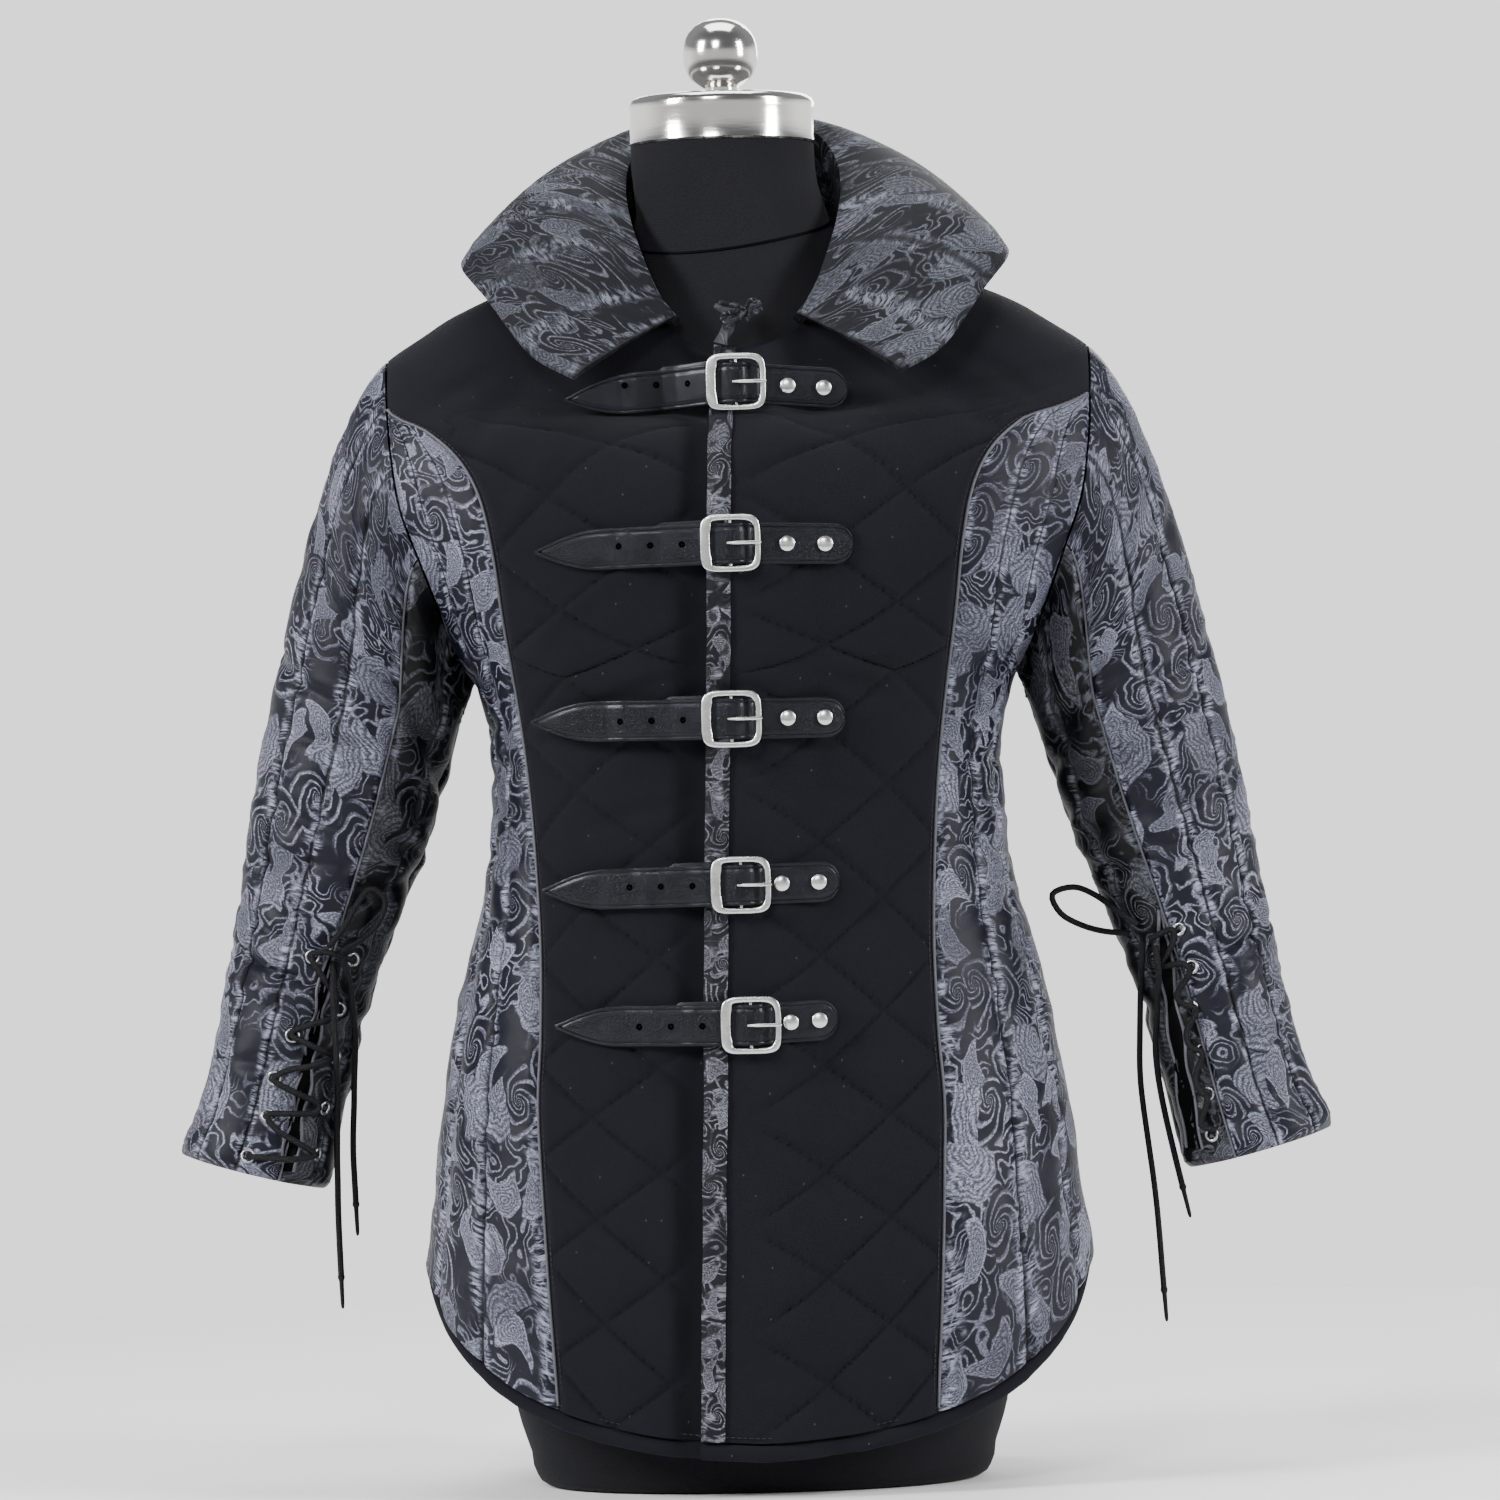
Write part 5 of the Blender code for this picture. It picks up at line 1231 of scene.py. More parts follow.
# A strap's face from its edge inwards: millimetres in, and how far it stands in of the front
STRAP_FACE = (
    (0.0, 0.55), (0.3, 0.2), (0.9, 0.0), (2.1, 0.0), (2.6, 0.42), (3.1, 0.0), (6.0, -0.12),
)


def leather_strap(node, name):
    """A strap on the form of its solid, with a round end, rounded edges and a creased line."""
    tree = tree_of(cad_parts[node])
    low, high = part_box(node)
    heights = np.linspace(low.z, high.z, 140)
    stations = []
    for x in np.linspace(low.x + 0.0003, high.x - 0.0003, 190):
        covered = [z for z in heights if tree.ray_cast(Vector((x, -1, z)), Vector((0, 1, 0)))[0]]
        if len(covered) < 3:
            continue
        middle, half = (covered[0] + covered[-1]) / 2, (covered[-1] - covered[0]) / 2
        front = tree.ray_cast(Vector((x, -1, middle)), Vector((0, 1, 0)))[0]
        back = tree.ray_cast(Vector((x, 1, middle)), Vector((0, -1, 0)))[0]
        stations.append((x, middle, half, front.y, back.y))
    stations = np.array(stations)
    # The solid bends at a few places only, and leather bends between them
    for _ in range(STRAP_SMOOTHINGS):
        stations[1:-1, 1:] = (stations[:-2, 1:] + 2 * stations[1:-1, 1:] + stations[2:, 1:]) / 4
    rings = []
    for x, middle, half, front, back in stations / MM:
        to_end = min(max(high.x / MM - x, 0.25), STRAP_ROUND)
        rounded = math.sqrt(1 - (1 - to_end / STRAP_ROUND) ** 2)
        half = min(half, STRAP_END_HALF * rounded)
        left = [(middle - half + min(into, half), front + deep * min(1, half / 3))
                for into, deep in STRAP_FACE]
        right = [(2 * middle - z, y) for z, y in reversed(left)]
        behind = [(middle + half - 0.3, back), (middle, back), (middle - half + 0.3, back)]
        rings.append([(x, y, z) for z, y in left + right + behind])
    made = lofted(name, np.array(rings), LEATHER, 40)
    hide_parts(node)
    return made


def front_box(node):
    """The middle, half width, front and back of a solid, seen from the front."""
    low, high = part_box(node)
    middle_x, middle_z = (low.x + high.x) / 2 / MM, (low.z + high.z) / 2 / MM
    return middle_x, middle_z, (high.x - low.x) / 2 / MM, low.y / MM, high.y / MM


def buckle(number):
    """A cast frame with a wider bar at its left and the bar that carries the prong."""
    middle_x, middle_z, _, front, back = front_box("buckle_%d" % number)
    rings = []
    for turn in turns(96):
        ux, uz = signed_power(np.array((math.cos(turn), math.sin(turn))), 2 / BUCKLE_SQUARE)
        wide = mix(*BUCKLE_WIDTHS, ease(0.72, 0.97, -ux))
        ring = []
        for step in turns(20):
            inward = (1 - signed_power(math.cos(step), 0.7)) / 2 * wide
            deep = front + BUCKLE_THICK_HALF * (1 + signed_power(math.sin(step), 0.6))
            ring.append((middle_x + ux * (BUCKLE_HALF[0] - inward), deep,
                         middle_z + uz * (BUCKLE_HALF[1] - inward)))
        rings.append(ring)
    rim = lofted("buckle_frame_%d" % number, np.array(rings), STEEL, 60, True)
    deep = min(front + 3.6, back)
    bar = [[(middle_x + BAR_RADIUS * math.cos(a), deep + BAR_RADIUS * math.sin(a), middle_z + z)
            for a in turns(16)] for z in np.linspace(-BAR_HALF, BAR_HALF, 9)]
    join(rim, lofted("buckle_bar_%d" % number, np.array(bar), STEEL))
    return rigid(rim, "buckle_%d" % number)


def join(piece, *others):
    """Makes others part of a piece, which keeps its own material for its own faces."""
    tool = bmesh.new()
    tool.from_mesh(piece.data)
    for other in others:
        tool.from_mesh(other.data)
        mesh = other.data
        bpy.data.objects.remove(other, do_unlink=True)
        bpy.data.meshes.remove(mesh)
    tool.to_mesh(piece.data)
    tool.free()


def rivet(node):
    """A rivet's head, flat at its rim and round on top, facing the viewer."""
    x, z, radius, front, back = front_box(node)
    rings = [[(x + radius * r * math.cos(a), back - (back - front) * h,
               z + radius * r * math.sin(a)) for a in turns(32)] for h, r in RIVET_PROFILE]
    return rigid(lofted("belt_" + node, np.array(rings), STEEL, 30), node)


# Things that repeat, made with Geometry Nodes

class Repeat:
    """A Geometry Nodes tree whose named inputs are sizes in metres."""

    def __init__(self, **sizes):
        self.sizes = sizes
        self.tree = bpy.data.node_groups.new("repeat", "GeometryNodeTree")
        sockets = [("Geometry", "INPUT", "NodeSocketGeometry")]
        sockets += [(name, "INPUT", "NodeSocketFloat") for name in sizes]
        for name, way, kind in sockets + [("Geometry", "OUTPUT", "NodeSocketGeometry")]:
            self.tree.interface.new_socket(name, in_out=way, socket_type=kind)
        self.given = self.tree.nodes.new("NodeGroupInput").outputs

    def node(self, kind, inputs, **settings):
        return add_node(self.tree, kind, inputs, **settings).outputs

    def circle(self, points, radius):
        made = self.node("GeometryNodeCurvePrimitiveCircle",
                         {"Resolution": points, "Radius": self.given[radius]})
        return made["Curve"]

    def instances(self, points, thing, rotation):
        return self.node("GeometryNodeInstanceOnPoints", {
            "Points": points, "Instance": thing, "Rotation": rotation})["Instances"]

    def run(self, geometry, host, name, finish):
        """Ends the tree, runs it on a host object and keeps the result as a plain mesh."""
        real = self.node("GeometryNodeRealizeInstances", {"Geometry": geometry})
        dressed = self.node("GeometryNodeSetMaterial", {"Geometry": real[0], "Material": finish})
        self.node("NodeGroupOutput", {"Geometry": dressed[0]})
        modifier = host.modifiers.new("repeat", "NODES")
        modifier.node_group = self.tree
        for item in self.tree.interface.items_tree:
            if item.name in self.sizes:
                modifier[item.identifier] = self.sizes[item.name]
        mesh = plain_mesh(host)
        bpy.data.objects.remove(host, do_unlink=True)
        mesh.name = name
        mesh.shade_smooth()
        mesh.set_sharp_from_angle(angle=math.radians(50))
        return new_object(name, mesh, finish)


def curve_object(name, paths):
    """A curve object with a straight-stepped spline for each path of points in metres."""
    curve = bpy.data.curves.new(name, "CURVE")
    curve.dimensions = "3D"
    for path in paths:
        spline = curve.splines.new("POLY")
        spline.points.add(len(path) - 1)
        spline.points.foreach_set("co", np.column_stack([path, np.ones(len(path))]).ravel())
    return placed(name, curve)


def stitches(name, paths, sizes):
    """Short raised threads along paths."""
    tree = Repeat(Spacing=sizes[0], Length=sizes[1], Thickness=THREAD_RADIUS)
    given = tree.given
    points = tree.node("GeometryNodeCurveToPoints",
                       {"Curve": given["Geometry"], "Length": given["Spacing"]}, mode="LENGTH")
    thread = tree.node("GeometryNodeMeshCylinder", {
        "Vertices": 6, "Depth": given["Length"], "Radius": given["Thickness"]})
    sewn = tree.instances(points["Points"], thread["Mesh"], points["Rotation"])
    return tree.run(sewn, curve_object("paths", paths), name, THREAD)


def piping(name, paths, radius, finish):
    """A thin round edge along paths."""
    tree = Repeat(Radius=radius)
    tube = tree.node("GeometryNodeCurveToMesh", {
        "Fill Caps": True, "Curve": tree.given["Geometry"],
        "Profile Curve": tree.circle(8, "Radius")})
    return tree.run(tube["Mesh"], curve_object("paths", paths), name, finish)


def rings_on(name, places, normals, sizes, finish):
    """A round ring lying on the cloth or the leather at each place."""
    mesh = bpy.data.meshes.new("places")
    mesh.from_pydata([tuple(p) for p in places], [], [])
    attribute = mesh.attributes.new("facing", "FLOAT_VECTOR", "POINT")
    attribute.data.foreach_set("vector", np.array(normals, float).ravel())
    tree = Repeat(Radius=sizes[0], Wire=sizes[1])
    ring = tree.node("GeometryNodeCurveToMesh", {
        "Curve": tree.circle(24, "Radius"), "Profile Curve": tree.circle(8, "Wire")})
    facing = tree.node("GeometryNodeInputNamedAttribute", {"Name": "facing"},
                       data_type="FLOAT_VECTOR")
    align = tree.node("FunctionNodeAlignEulerToVector", {"Vector": facing["Attribute"]}, axis="Z")
    laid = tree.instances(tree.given["Geometry"], ring["Mesh"], align["Rotation"])
    return tree.run(laid, placed("places", mesh), name, finish)


def tree_of(*pieces):
    """A tree for casting rays on pieces, in metres."""
    points, faces = [], []
    for piece in pieces:
        offset = len(points)
        points += [vert.co.copy() for vert in piece.data.vertices]
        faces += [[offset + i for i in face.vertices] for face in piece.data.polygons]
    return BVHTree.FromPolygons(points, faces)


def on_face(tree, x, z):
    """Where a ray from the front meets the pieces at x and z in millimetres, and its normal."""
    hit, normal, _, _ = tree.ray_cast(Vector((x * MM, -0.4, z * MM)), Vector((0, 1, 0)))
    return hit, normal


# Laces: the same routes as in the part, in millimetres

LACES = {
    "lace_end_l_a": (
        (271, -47, 370), (270, -45.9, 353.2), (269.5, -33.5, 336), (269, -30.1, 320),
        (268.4, -30.1, 303.1), (267.9, -30.1, 287.1), (268.2, -30.1, 271.8), (269.6, -30.1, 255.6),
        (271.5, -30.1, 239.2), (273.5, -30.1, 222.4), (275.3, -30.1, 207.2), (277, -30.1, 190),
        (278.1, -30.1, 175.5), (279.3, -30.1, 156.4), (280, -30.1, 143.2), (281, -30.1, 127)),
    "lace_end_l_b": (
        (279, -58.5, 368), (281, -58.5, 350), (280.5, -50.2, 332.5), (279.7, -42, 315.9),
        (278.8, -34.9, 298.3), (279.8, -31.7, 281.3), (282.2, -24.8, 265.2), (285.4, -24.8, 247.1),
        (288.8, -24.8, 230.7), (292.4, -24.8, 214), (296, -24.8, 198)),
    "lace_end_r_a": (
        (-283, -62.4, 372), (-279, -53.2, 355), (-277.5, -49.4, 337.1), (-277, -37.1, 320),
        (-277.6, -33.3, 302.3), (-278.7, -31, 286), (-279.7, -24.5, 268), (-280.7, -24.5, 250),
        (-281, -24.5, 234), (-280.5, -24.5, 216), (-280, -24.5, 200)),
    "lace_end_r_b": (
        (-290, -55.2, 370), (-290.1, -63.6, 352.7), (-289.8, -62.6, 335.3), (-289.2, -61.9, 316.9),
        (-289, -61.5, 300), (-289.4, -47.2, 285.4), (-290.3, -40.1, 267.7), (-291, -38.9, 250),
        (-291.5, -38, 232.5), (-291.8, -32.5, 217.5), (-292, -32.5, 200), (-291.8, -32.5, 182.5),
        (-291.4, -32.5, 165), (-291, -32.5, 150)),
    "lace_loop_l": (
        (268, -47.2, 382), (254.2, -44.8, 391.6), (240.6, -29.7, 402.4), (225, -29.7, 408.8),
        (210, -29.7, 404.1), (215.5, -29.7, 390.7), (230, -29.7, 382.1), (246, -29.7, 377.4),
        (262, -32.8, 376)),
    "lace_loop_r": (
        (-292, -64.2, 381), (-281.5, -57.7, 394.2), (-273.5, -53.5, 408.2), (-263, -53.4, 419.9),
        (-253, -51.7, 411.4), (-258.4, -48.3, 396.3), (-270, -53.2, 385), (-284, -62.9, 377)),
    "lacing_l": (
        (275, -53.8, 372), (291.2, -57.8, 378.3), (290.5, -57.1, 366.9), (283, -54.3, 353.6),
        (297.2, -59.8, 354.7), (302.2, -60.5, 347.7), (293.2, -57.8, 333.4), (297.5, -57.5, 326.6),
        (306.5, -59.4, 322), (299.4, -57.3, 307.6), (301.2, -57.9, 297.3), (309.9, -58.5, 291.7),
        (304.6, -59.2, 276.7), (307, -60.2, 266.9), (312.2, -61.1, 259.3), (307.3, -63.3, 243),
        (318, -63.8, 239)),
    "lacing_r": (
        (-277, -56.1, 371), (-293.9, -62, 376.9), (-304.8, -62.4, 374.7), (-297.2, -62.1, 360.2),
        (-289, -56.5, 345.5), (-291.3, -56.9, 331.6), (-306.5, -63.7, 327.1),
        (-319.9, -64.2, 321.2), (-304.9, -63.8, 312.3), (-291.3, -56.9, 304.6),
        (-306.4, -65.2, 298.6), (-321.2, -67, 296.5), (-332.3, -67.2, 290), (-318.2, -67.1, 281),
        (-303.1, -60.7, 272.9), (-304.9, -61.9, 266.2), (-322.1, -68.9, 266.3),
        (-337.1, -69.8, 265.7), (-330.2, -69.9, 254.8), (-316.8, -68.6, 246.2),
        (-305, -64.2, 236.8), (-320.6, -72.7, 234.9), (-338.3, -74.3, 236.8), (-352, -74.3, 238)),
}
LACE_RADIUS = 2.2
# A lace's tip: millimetres past the cord's end, and the radius there
TIP_PROFILE = ((-2, 1.9), (-1, 2.5), (0.6, 2.5), (2.5, 1.7), (18, 1.4), (21, 1.1), (22, 0.5))


def smooth_path(points, steps=4):
    """The route's points with a smooth curve between them."""
    table = [(index, *point) for index, point in enumerate(points)]
    return read(table, np.linspace(0, len(points) - 1, steps * (len(points) - 1) + 1))


def lace(name):
    """A lace on its route, and the dark tip of a free end."""
    route = LACES[name]
    path = smooth_path(route)
    made = curve_object(name + "_cord", [path * MM])
    made.data.bevel_depth = LACE_RADIUS * MM
    made.data.bevel_resolution = 3
    made.data.use_fill_caps = True
    made.data.materials.append(LACE)
    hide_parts(name)
    free = "_end_" in name
    if free:
        end, before = path[-1], path[-4]
        down = (end - before) / np.linalg.norm(end - before)
        side = np.cross(down, (0, 1, 0))
        side /= np.linalg.norm(side)
        other = np.cross(side, down)
        rings = [[end + down * along + (side * math.cos(a) + other * math.sin(a)) * r
                  for a in turns(12)] for along, r in TIP_PROFILE]
        tip = lofted(name + "_tip", np.array(rings), LACE)
        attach(tip, "root")
    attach(made, "root")


def cloth(piece, nodes):
    """Attaches a piece of cloth to the root, and hides the solids it stands for."""
    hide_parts(*nodes)
    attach(piece, "root")
    return piece


def rigid(piece, node=None):
    """Attaches a piece to the root, and hides the solid it stands for where one is given."""
    if node:
        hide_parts(node)
    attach(piece, "root")
    return piece


def build_coat():
    """The coat's cloth, and each sleeve's two pieces by its letter."""
    sleeves = {"r": [], "l": []}
    cloth(front_panel(-1, "coat_front_right"), ("front_right",))
    cloth(front_panel(1, "coat_front_left"), ("front_left",))
    cloth(back_panel("coat_back"), ("back",))
    for side, letter in SIDES:
        for behind, word in ((False, "front"), (True, "back")):
            node = "side_%s_%s" % (word, letter)
            cloth(side_panel(side, behind, "coat_" + node), (node,))
        seam, end = FRONT_SLEEVE_SEAM, SLEEVE_COLUMNS - FRONT_SLEEVE_SEAM
        top = sleeve_part(side, end, SLEEVE_COLUMNS + seam, "coat_topsleeve_" + letter, BROCADE,
                          190, (0.2 * side + 0.5, 3.1))
        cloth(top, ("topsleeve_" + letter,))
        # The undersleeve takes the brocade with painted shade
        under = sleeve_part(side, seam, end, "coat_undersleeve_" + letter, BROCADE_PAINTED_SHADE,
                            130, (0.2 * side + 0.8, 5.2))
        cloth(under, ("undersleeve_" + letter,))
        sleeves[letter] = [top, under]
    cloth(collar_piece("coat_collar"), ("collar",))
    cloth(edge_strip("coat_front_binding"), ("front_edge_strip",))
    return sleeves


def build_hems():
    """The three bound rolls of the hem."""
    level = float(row_level(0.0, 0.0))
    left_start = float(angle_at(np.array(float(read(LAP_EDGE, level)[0])), level))
    right_end = float(angle_at(np.array(UNDERLAP_END), level))
    quarter, apart = math.pi / 2, 0.002
    made = (("hem_front_l", left_start, quarter - apart, 150, "left"),
            ("hem_front_r", apart - quarter, right_end, 150, "right"),
            ("hem_back", quarter + apart, 3 * quarter - apart, 240, "back"))
    for node, start, end, count, kind in made:
        piece = hem_roll("coat_" + node, start, end, count, kind)
        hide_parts(node)
        rigid(piece)


def build_form():
    torso = rigid(form_piece("form_body"), "form_torso")
    build_neck_seam(torso)
    rigid(lathe("form_neck_cap", NECK_CAP, 96), "neck_cap")
    rigid(lathe("form_neck_knob", KNOB, 64), "neck_knob")


def build_straps():
    """The five straps with their chapes, buckles, prongs and rivets."""
    straps = []
    for number in range(1, 6):
        strap = leather_strap("strap_%d" % number, "belt_strap_%d" % number)
        straps.append(strap)
        chape = fine_copy("chape_%d" % number, "belt_chape_%d" % number, LEATHER)
        rigid(strap)
        rigid(chape)
        buckle(number)
        rigid(fine_copy("prong_%d" % number, "belt_prong_%d" % number, STEEL, 0.4))
        for letter in "ab":
            rivet("rivet_%d_%s" % (number, letter))
    return straps


# Eyelets beside each sleeve's slit, seen from the front: x and z in millimetres
EYELETS = {
    "r": ((-304, 374), (-319, 320), (-332, 291), (-337, 265), (-351, 238),
          (-277, 371), (-287, 337), (-291, 304), (-299, 269), (-305, 237)),
    "l": ((296, 378), (304, 352), (306, 325), (310, 294), (313, 264), (315, 236)),
}
HOLE_GAPS = (33, 54.5, 76)


def build_eyelets(letter, pieces):
    tree = tree_of(*pieces)
    places, normals = [], []
    for x, z in EYELETS[letter]:
        hit, normal = on_face(tree, x, z)
        if hit is not None:
            places.append(hit + normal * SKIN)
            normals.append(normal)
    rigid(rings_on("eyelets_" + letter, places, normals, EYELET_RING, DARK_STEEL))


def build_strap_holes(straps):
    """Three holes in each strap, left of its buckle."""
    places, normals = [], []
    for number, strap in enumerate(straps, 1):
        tree = tree_of(strap)
        middle_x, middle_z = front_box("buckle_%d" % number)[:2]
        for gap in HOLE_GAPS:
            for dz in (0, 1.5, -1.5, 3, -3):
                hit, normal = on_face(tree, middle_x - gap, middle_z + dz)
                if hit is not None:
                    break
            places.append(hit - normal * SKIN)
            normals.append(normal)
    # Near-black discs sunk in the leather: the holes' painted shade
    rigid(rings_on("strap_holes", places, normals, HOLE_RING, HOLE))


def seam_paths(behind, lift, shift=0.0):
    """Lines along the long seams of the coat, in metres."""
    paths = []
    row = np.linspace(0.15, SEAM_END_ROW - 0.1, 150)
    for side in (-1, 1):
        angle = side * seam_angle(row, side, behind) + 2 * np.pi * (behind and side < 0)
        level = row_level(row, angle)
        angle = shift_angle(angle, level, shift * side)
        base, normal = coat_face(angle, level)
        paths.append((base + normal * lift) * MM)
    return paths


def sleeve_paths(side):
    """Lines along a sleeve's two seams, in metres."""
    paths = []
    for step in (FRONT_SLEEVE_SEAM, SLEEVE_COLUMNS - FRONT_SLEEVE_SEAM):
        line = np.linspace(0.4, SLEEVE_LINES, 160)
        around = np.full_like(line, step)
        base = sleeve_point(line, around, side, 0)
        outward = unit(base - sleeve_point(line, around, side, WALL))
        paths.append((base - 0.3 * outward) * MM)
    return paths


# Each slit's middle line from its top to the cuff: x, z and half its opening in millimetres
SLITS = {
    "r": ((-289, 384, 0.4), (-293, 370, 1.6), (-297, 352, 3.2), (-301, 335, 1.8), (-305, 318, 3.6),
          (-309, 300, 2.0), (-313, 282, 3.8), (-317, 264, 2.2), (-321, 246, 4.2), (-325, 226, 3.0)),
    "l": ((283, 392, 0.4), (285, 372, 2.0), (287, 350, 3.4), (290, 328, 2.2), (293, 306, 3.6),
          (296, 284, 2.4), (299, 262, 3.8), (302, 240, 3.0), (304, 226, 3.4)),
}
# How much wider than those halves the slits stand open
SLIT_OPEN = 1.45
SLIT_LIFT = 0.0004


def build_slit(letter, pieces):
    """The slit that the lace closes: its opening, a near-black sheet of painted shade laid just
    over the cloth, and its two folded edges.
    """
    tree = tree_of(*pieces)
    middle = smooth_path(SLITS[letter], 5)
    rows, edges = [], ([], [])
    for x, z, half in middle:
        row = []
        for share in (-1, -0.5, 0, 0.5, 1):
            hit, normal = on_face(tree, x + share * half * SLIT_OPEN, z)
            if hit is None:
                break
            row.append((hit + normal * SLIT_LIFT) / MM)
        if len(row) < 5:
            continue
        rows.append(row)
        edges[0].append(np.array(row[0]) * MM)
        edges[1].append(np.array(row[-1]) * MM)
    outer = np.array(rows)
    inner = outer + np.array((0, 1.2, 0))
    opening = shell("slit_opening_" + letter, outer, inner, SEAM_BLACK_AND_GAP_SHADE)
    rigid(opening)
    rigid(piping("slit_edges_" + letter, edges, SLIT_CORD, PIPING_PAINTED_HIGHLIGHT))


def build_neck_seam(torso):
    """The form's neck seam, which dips at the front."""
    tree = tree_of(torso)
    path = []
    for turn in np.linspace(0, 2 * np.pi, 97):
        ahead, side = math.cos(turn), math.sin(turn)
        z = (NECK_SEAM_HEIGHT - NECK_SEAM_DIP * ahead + NECK_SEAM_TILT * side) * MM
        start = Vector((NECK_X * MM + 0.2 * side, -0.2 * ahead, z))
        hit, normal, _, _ = tree.ray_cast(start, Vector((-side, ahead, 0)))
        if hit is not None:
            path.append(hit - normal * SKIN)
    rigid(piping("form_neck_seam", [np.array(path)], NECK_CORD, SEAM_BLACK_AND_GAP_SHADE))


def build_trim():
    """Piping in the long seams, and the stitches beside it and round the hem."""
    for behind, word in ((False, "front"), (True, "back")):
        rigid(piping("piping_" + word, seam_paths(behind, -0.2), SEAM_CORD, PIPING_PAINTED_HIGHLIGHT))
    for side, letter in SIDES:
        rigid(piping("piping_sleeve_" + letter, sleeve_paths(side), SLEEVE_CORD, PIPING_PAINTED_HIGHLIGHT))
    hem = []
    for start, end in ((-1.56, 1.56), (1.6, 4.68)):
        angle = np.linspace(start, end, 240)
        level = hem_height(angle) + 3.5
        base, normal = coat_face(angle, level)
        x = base[:, 0]
        lift = np.where((np.cos(angle) > 0) & (x > -44), lap_lift(x), 0) + 0.7
        hem.append((base + normal * lift[:, None]) * MM)
    rigid(stitches("hem_stitches", hem, HEM_STITCH))
    beside = seam_paths(False, 0.9, -4.0) + seam_paths(True, 0.9, -4.0)
    rigid(stitches("seam_stitches", beside, SEAM_STITCH))


# A ribbon's section, its front edges rounded, in halves of its width and thickness
RIBBON_SECTION = ((-1, -0.4), (-0.6, -1), (0.6, -1), (1, -0.4), (1, 1), (-1, 1))
# How far forward the tie's loops lie, then the loops and ends: x and z in millimetres
TIE_FRONT = -88.2
TIE_RIBBONS = (
    ((-12, 818), (-5, 816.5), (1, 815.5), (-1, 811.5), (-8, 810), (-9.5, 805), (-5, 801), (0, 805),
     (4, 811), (5, 815)),
    ((-3, 802), (2, 807), (6, 812), (9, 817.5), (12, 819.5), (13, 816), (10.5, 811.5), (9, 808)),
    ((7, 805), (11, 808), (15, 812), (18, 813)),
)


def ribbon(name, path, wide, thick, finish):
    """A narrow strip of cloth, seen flat from the front, along a path of x and z."""
    line = smooth_path(path, 5)
    ahead = unit(np.gradient(line, axis=0))
    rings = []
    for index, ((x, z), (dx, dz)) in enumerate(zip(line, ahead)):
        half = wide / 2 * (0.8 + 0.2 * math.sin(index * 0.9))
        front = TIE_FRONT - 0.7 * math.sin(index * 0.45)
        rings.append([(x + sz * dz * half, front + sy * thick / 2, z - sz * dx * half)
                      for sz, sy in RIBBON_SECTION])
    return lofted(name, np.array(rings), finish, 60)


def build_neck_tie():
    tie = fine_copy("neck_tie", "coat_neck_tie", BROCADE_STRIP, 1.0)
    join(tie, *[ribbon("tie_ribbon", path, 3.6, 1.2, BROCADE_STRIP) for path in TIE_RIBBONS])
    rigid(tie)


FLOOR_RADIUS = 1.7
# The studio's light by how far it comes from the level: a pale band, then dimmer grey
SKY_BAND = ((0.12, (1, 1, 1)), (0.26, (0.20, 0.205, 0.215)))
# Each lamp's place, width and height in metres, and its watts
LAMPS = (
    ("key", (-3.3, -1.7, 2.2), (1.0, 1.4), 240), ("fill", (3.3, -1.5, 1.8), (0.9, 1.8), 190),
    ("front", (-0.9, -3.6, 2.6), (0.9, 0.9), 90), ("top", (0, 0.2, 3.2), (2.0, 1.6), 60),
    ("back", (0.6, 3.2, 2.2), (2, 2), 80),
)
LAMP_AIM = Vector((0, 0, 0.6))


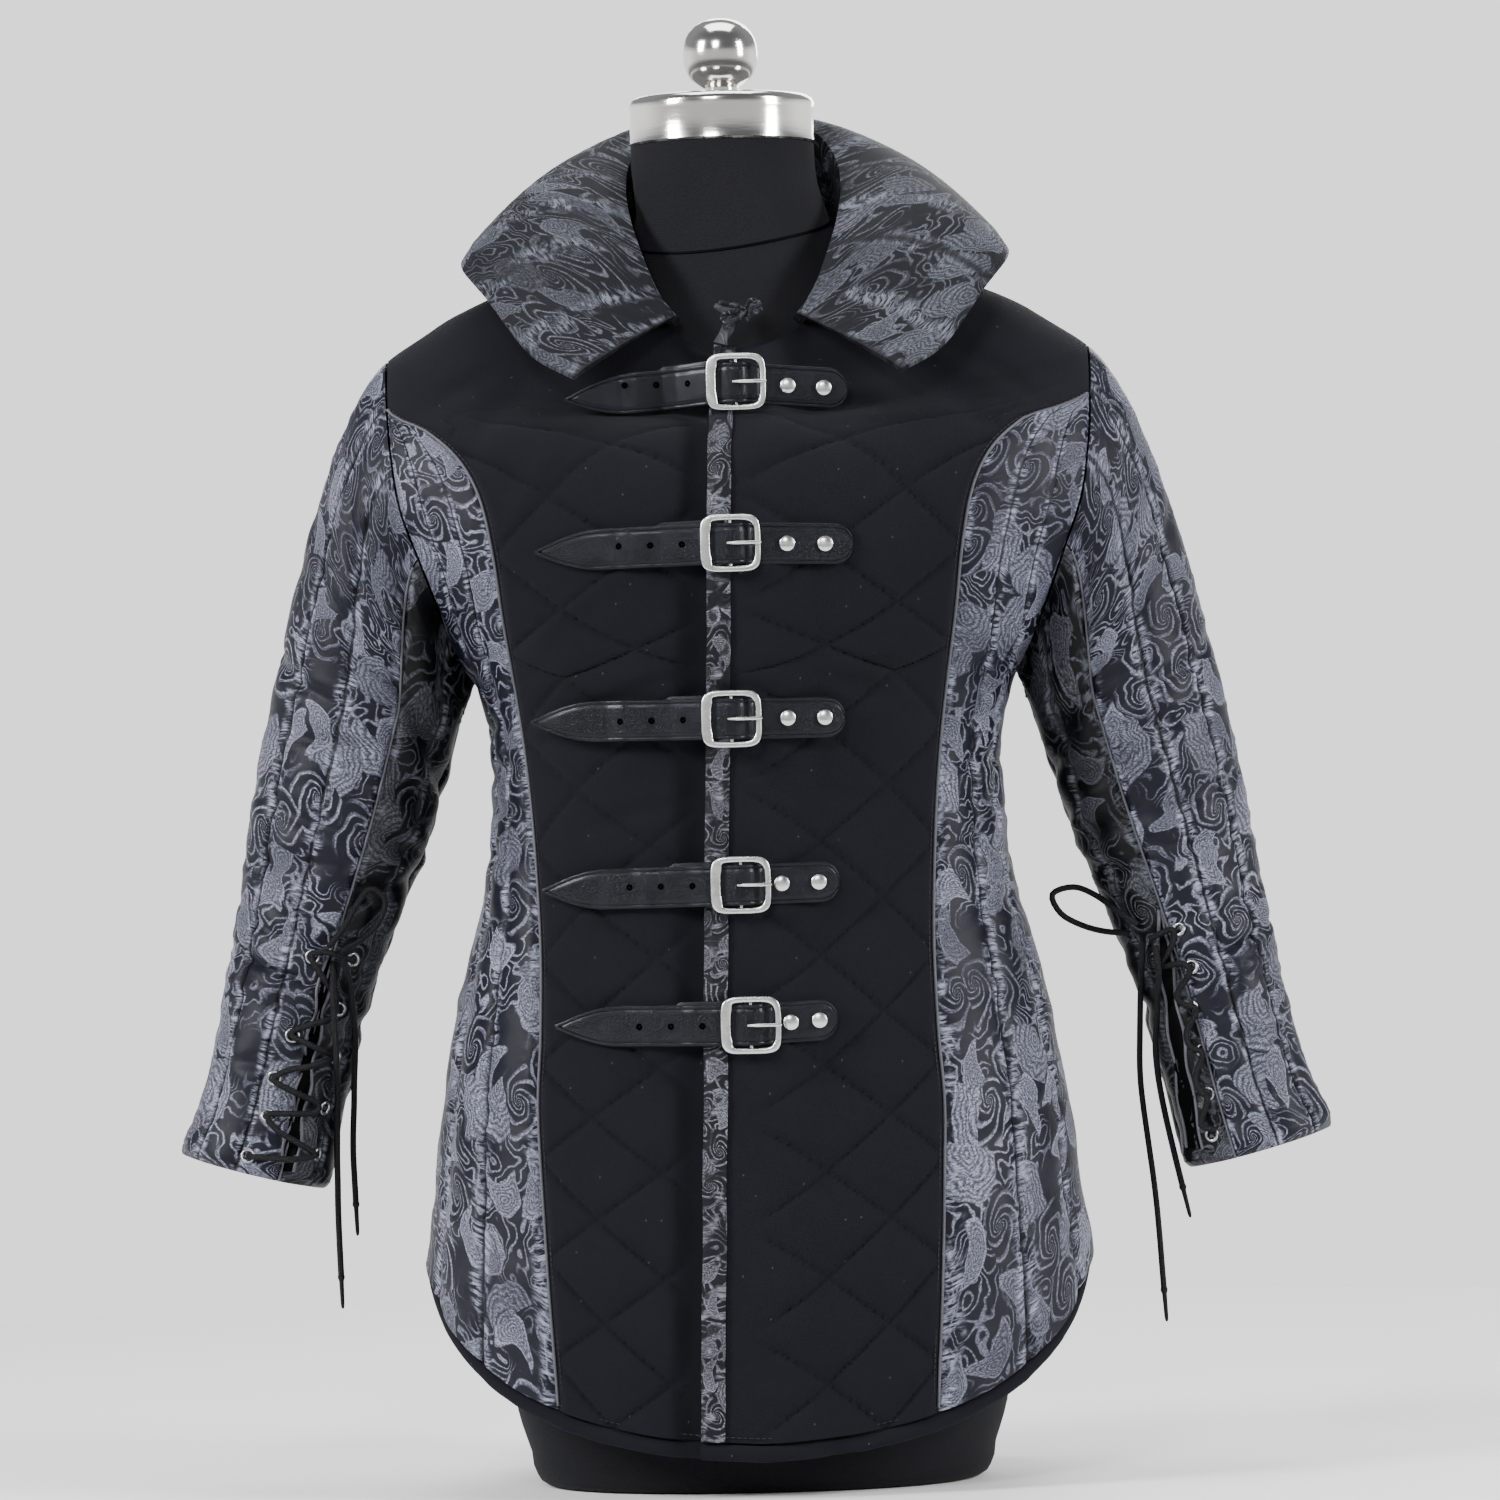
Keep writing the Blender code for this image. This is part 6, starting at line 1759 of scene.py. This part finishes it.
def build_stage():
    """The floor, the studio's walls of light and its lamps."""
    mesh = bpy.data.meshes.new("floor")
    tool = bmesh.new()
    bmesh.ops.create_circle(tool, cap_ends=True, segments=128, radius=FLOOR_RADIUS)
    tool.to_mesh(mesh)
    tool.free()
    floor = new_object("studio_floor", mesh, floor_finish())
    world = bpy.data.worlds.new("studio")
    bpy.context.scene.world = world
    world.use_nodes = True
    tree = world.node_tree
    direction = add_node(tree, "ShaderNodeTexCoord", {}).outputs["Generated"]
    split = add_node(tree, "ShaderNodeSeparateXYZ", {0: direction}).outputs
    size = add_node(tree, "ShaderNodeMath", {0: split[2]}, operation="ABSOLUTE")
    band = add_node(tree, "ShaderNodeValToRGB", {0: size.outputs[0]})
    for stop, (position, colour) in zip(band.color_ramp.elements, SKY_BAND):
        stop.position = position
        stop.color = (*colour, 1)
    # The pale wall stands behind the form, and the room before it is dimmer
    wall = add_node(tree, "ShaderNodeMapRange", {0: split[1], 1: -0.4, 2: 0.5, 3: 0.75, 4: 1.6},
                    interpolation_type="SMOOTHSTEP")
    background = tree.nodes["Background"].inputs
    put(tree, background[0], band.outputs[0])
    put(tree, background[1], wall.outputs[0])
    for name, place, size, power in LAMPS:
        lamp = bpy.data.lights.new(name, "AREA")
        lamp.shape = "RECTANGLE"
        lamp.size, lamp.size_y = size
        lamp.energy = power
        made = placed(name, lamp)
        made.location = place
        made.rotation_euler = (LAMP_AIM - Vector(place)).to_track_quat("-Z", "Y").to_euler()


# Metres, but for the sensor's millimetres and the roll's degrees
SENSOR_WIDTH = 36.0
CAMERA_AWAY = 5.0
VIEW_WIDE = 1.05
CAMERA_HEIGHT = 0.5096
CAMERA_X = 0.0021
CAMERA_ROLL = 1.4


def build_camera():
    lens = bpy.data.cameras.new("camera")
    lens.sensor_width = SENSOR_WIDTH
    lens.lens = SENSOR_WIDTH * CAMERA_AWAY / VIEW_WIDE
    lens.clip_end = 200
    camera = placed("camera", lens)
    camera.location = (CAMERA_X, -CAMERA_AWAY, CAMERA_HEIGHT)
    camera.rotation_euler = (math.radians(90), math.radians(CAMERA_ROLL), 0)
    bpy.context.scene.camera = camera


build_camera()
for lace_name in LACES:
    lace(lace_name)
coat_sleeves = build_coat()
build_hems()
build_form()
build_strap_holes(build_straps())
for sleeve_letter, sleeve_pieces in coat_sleeves.items():
    build_eyelets(sleeve_letter, sleeve_pieces)
    build_slit(sleeve_letter, sleeve_pieces)
build_trim()
build_neck_tie()
build_stage()
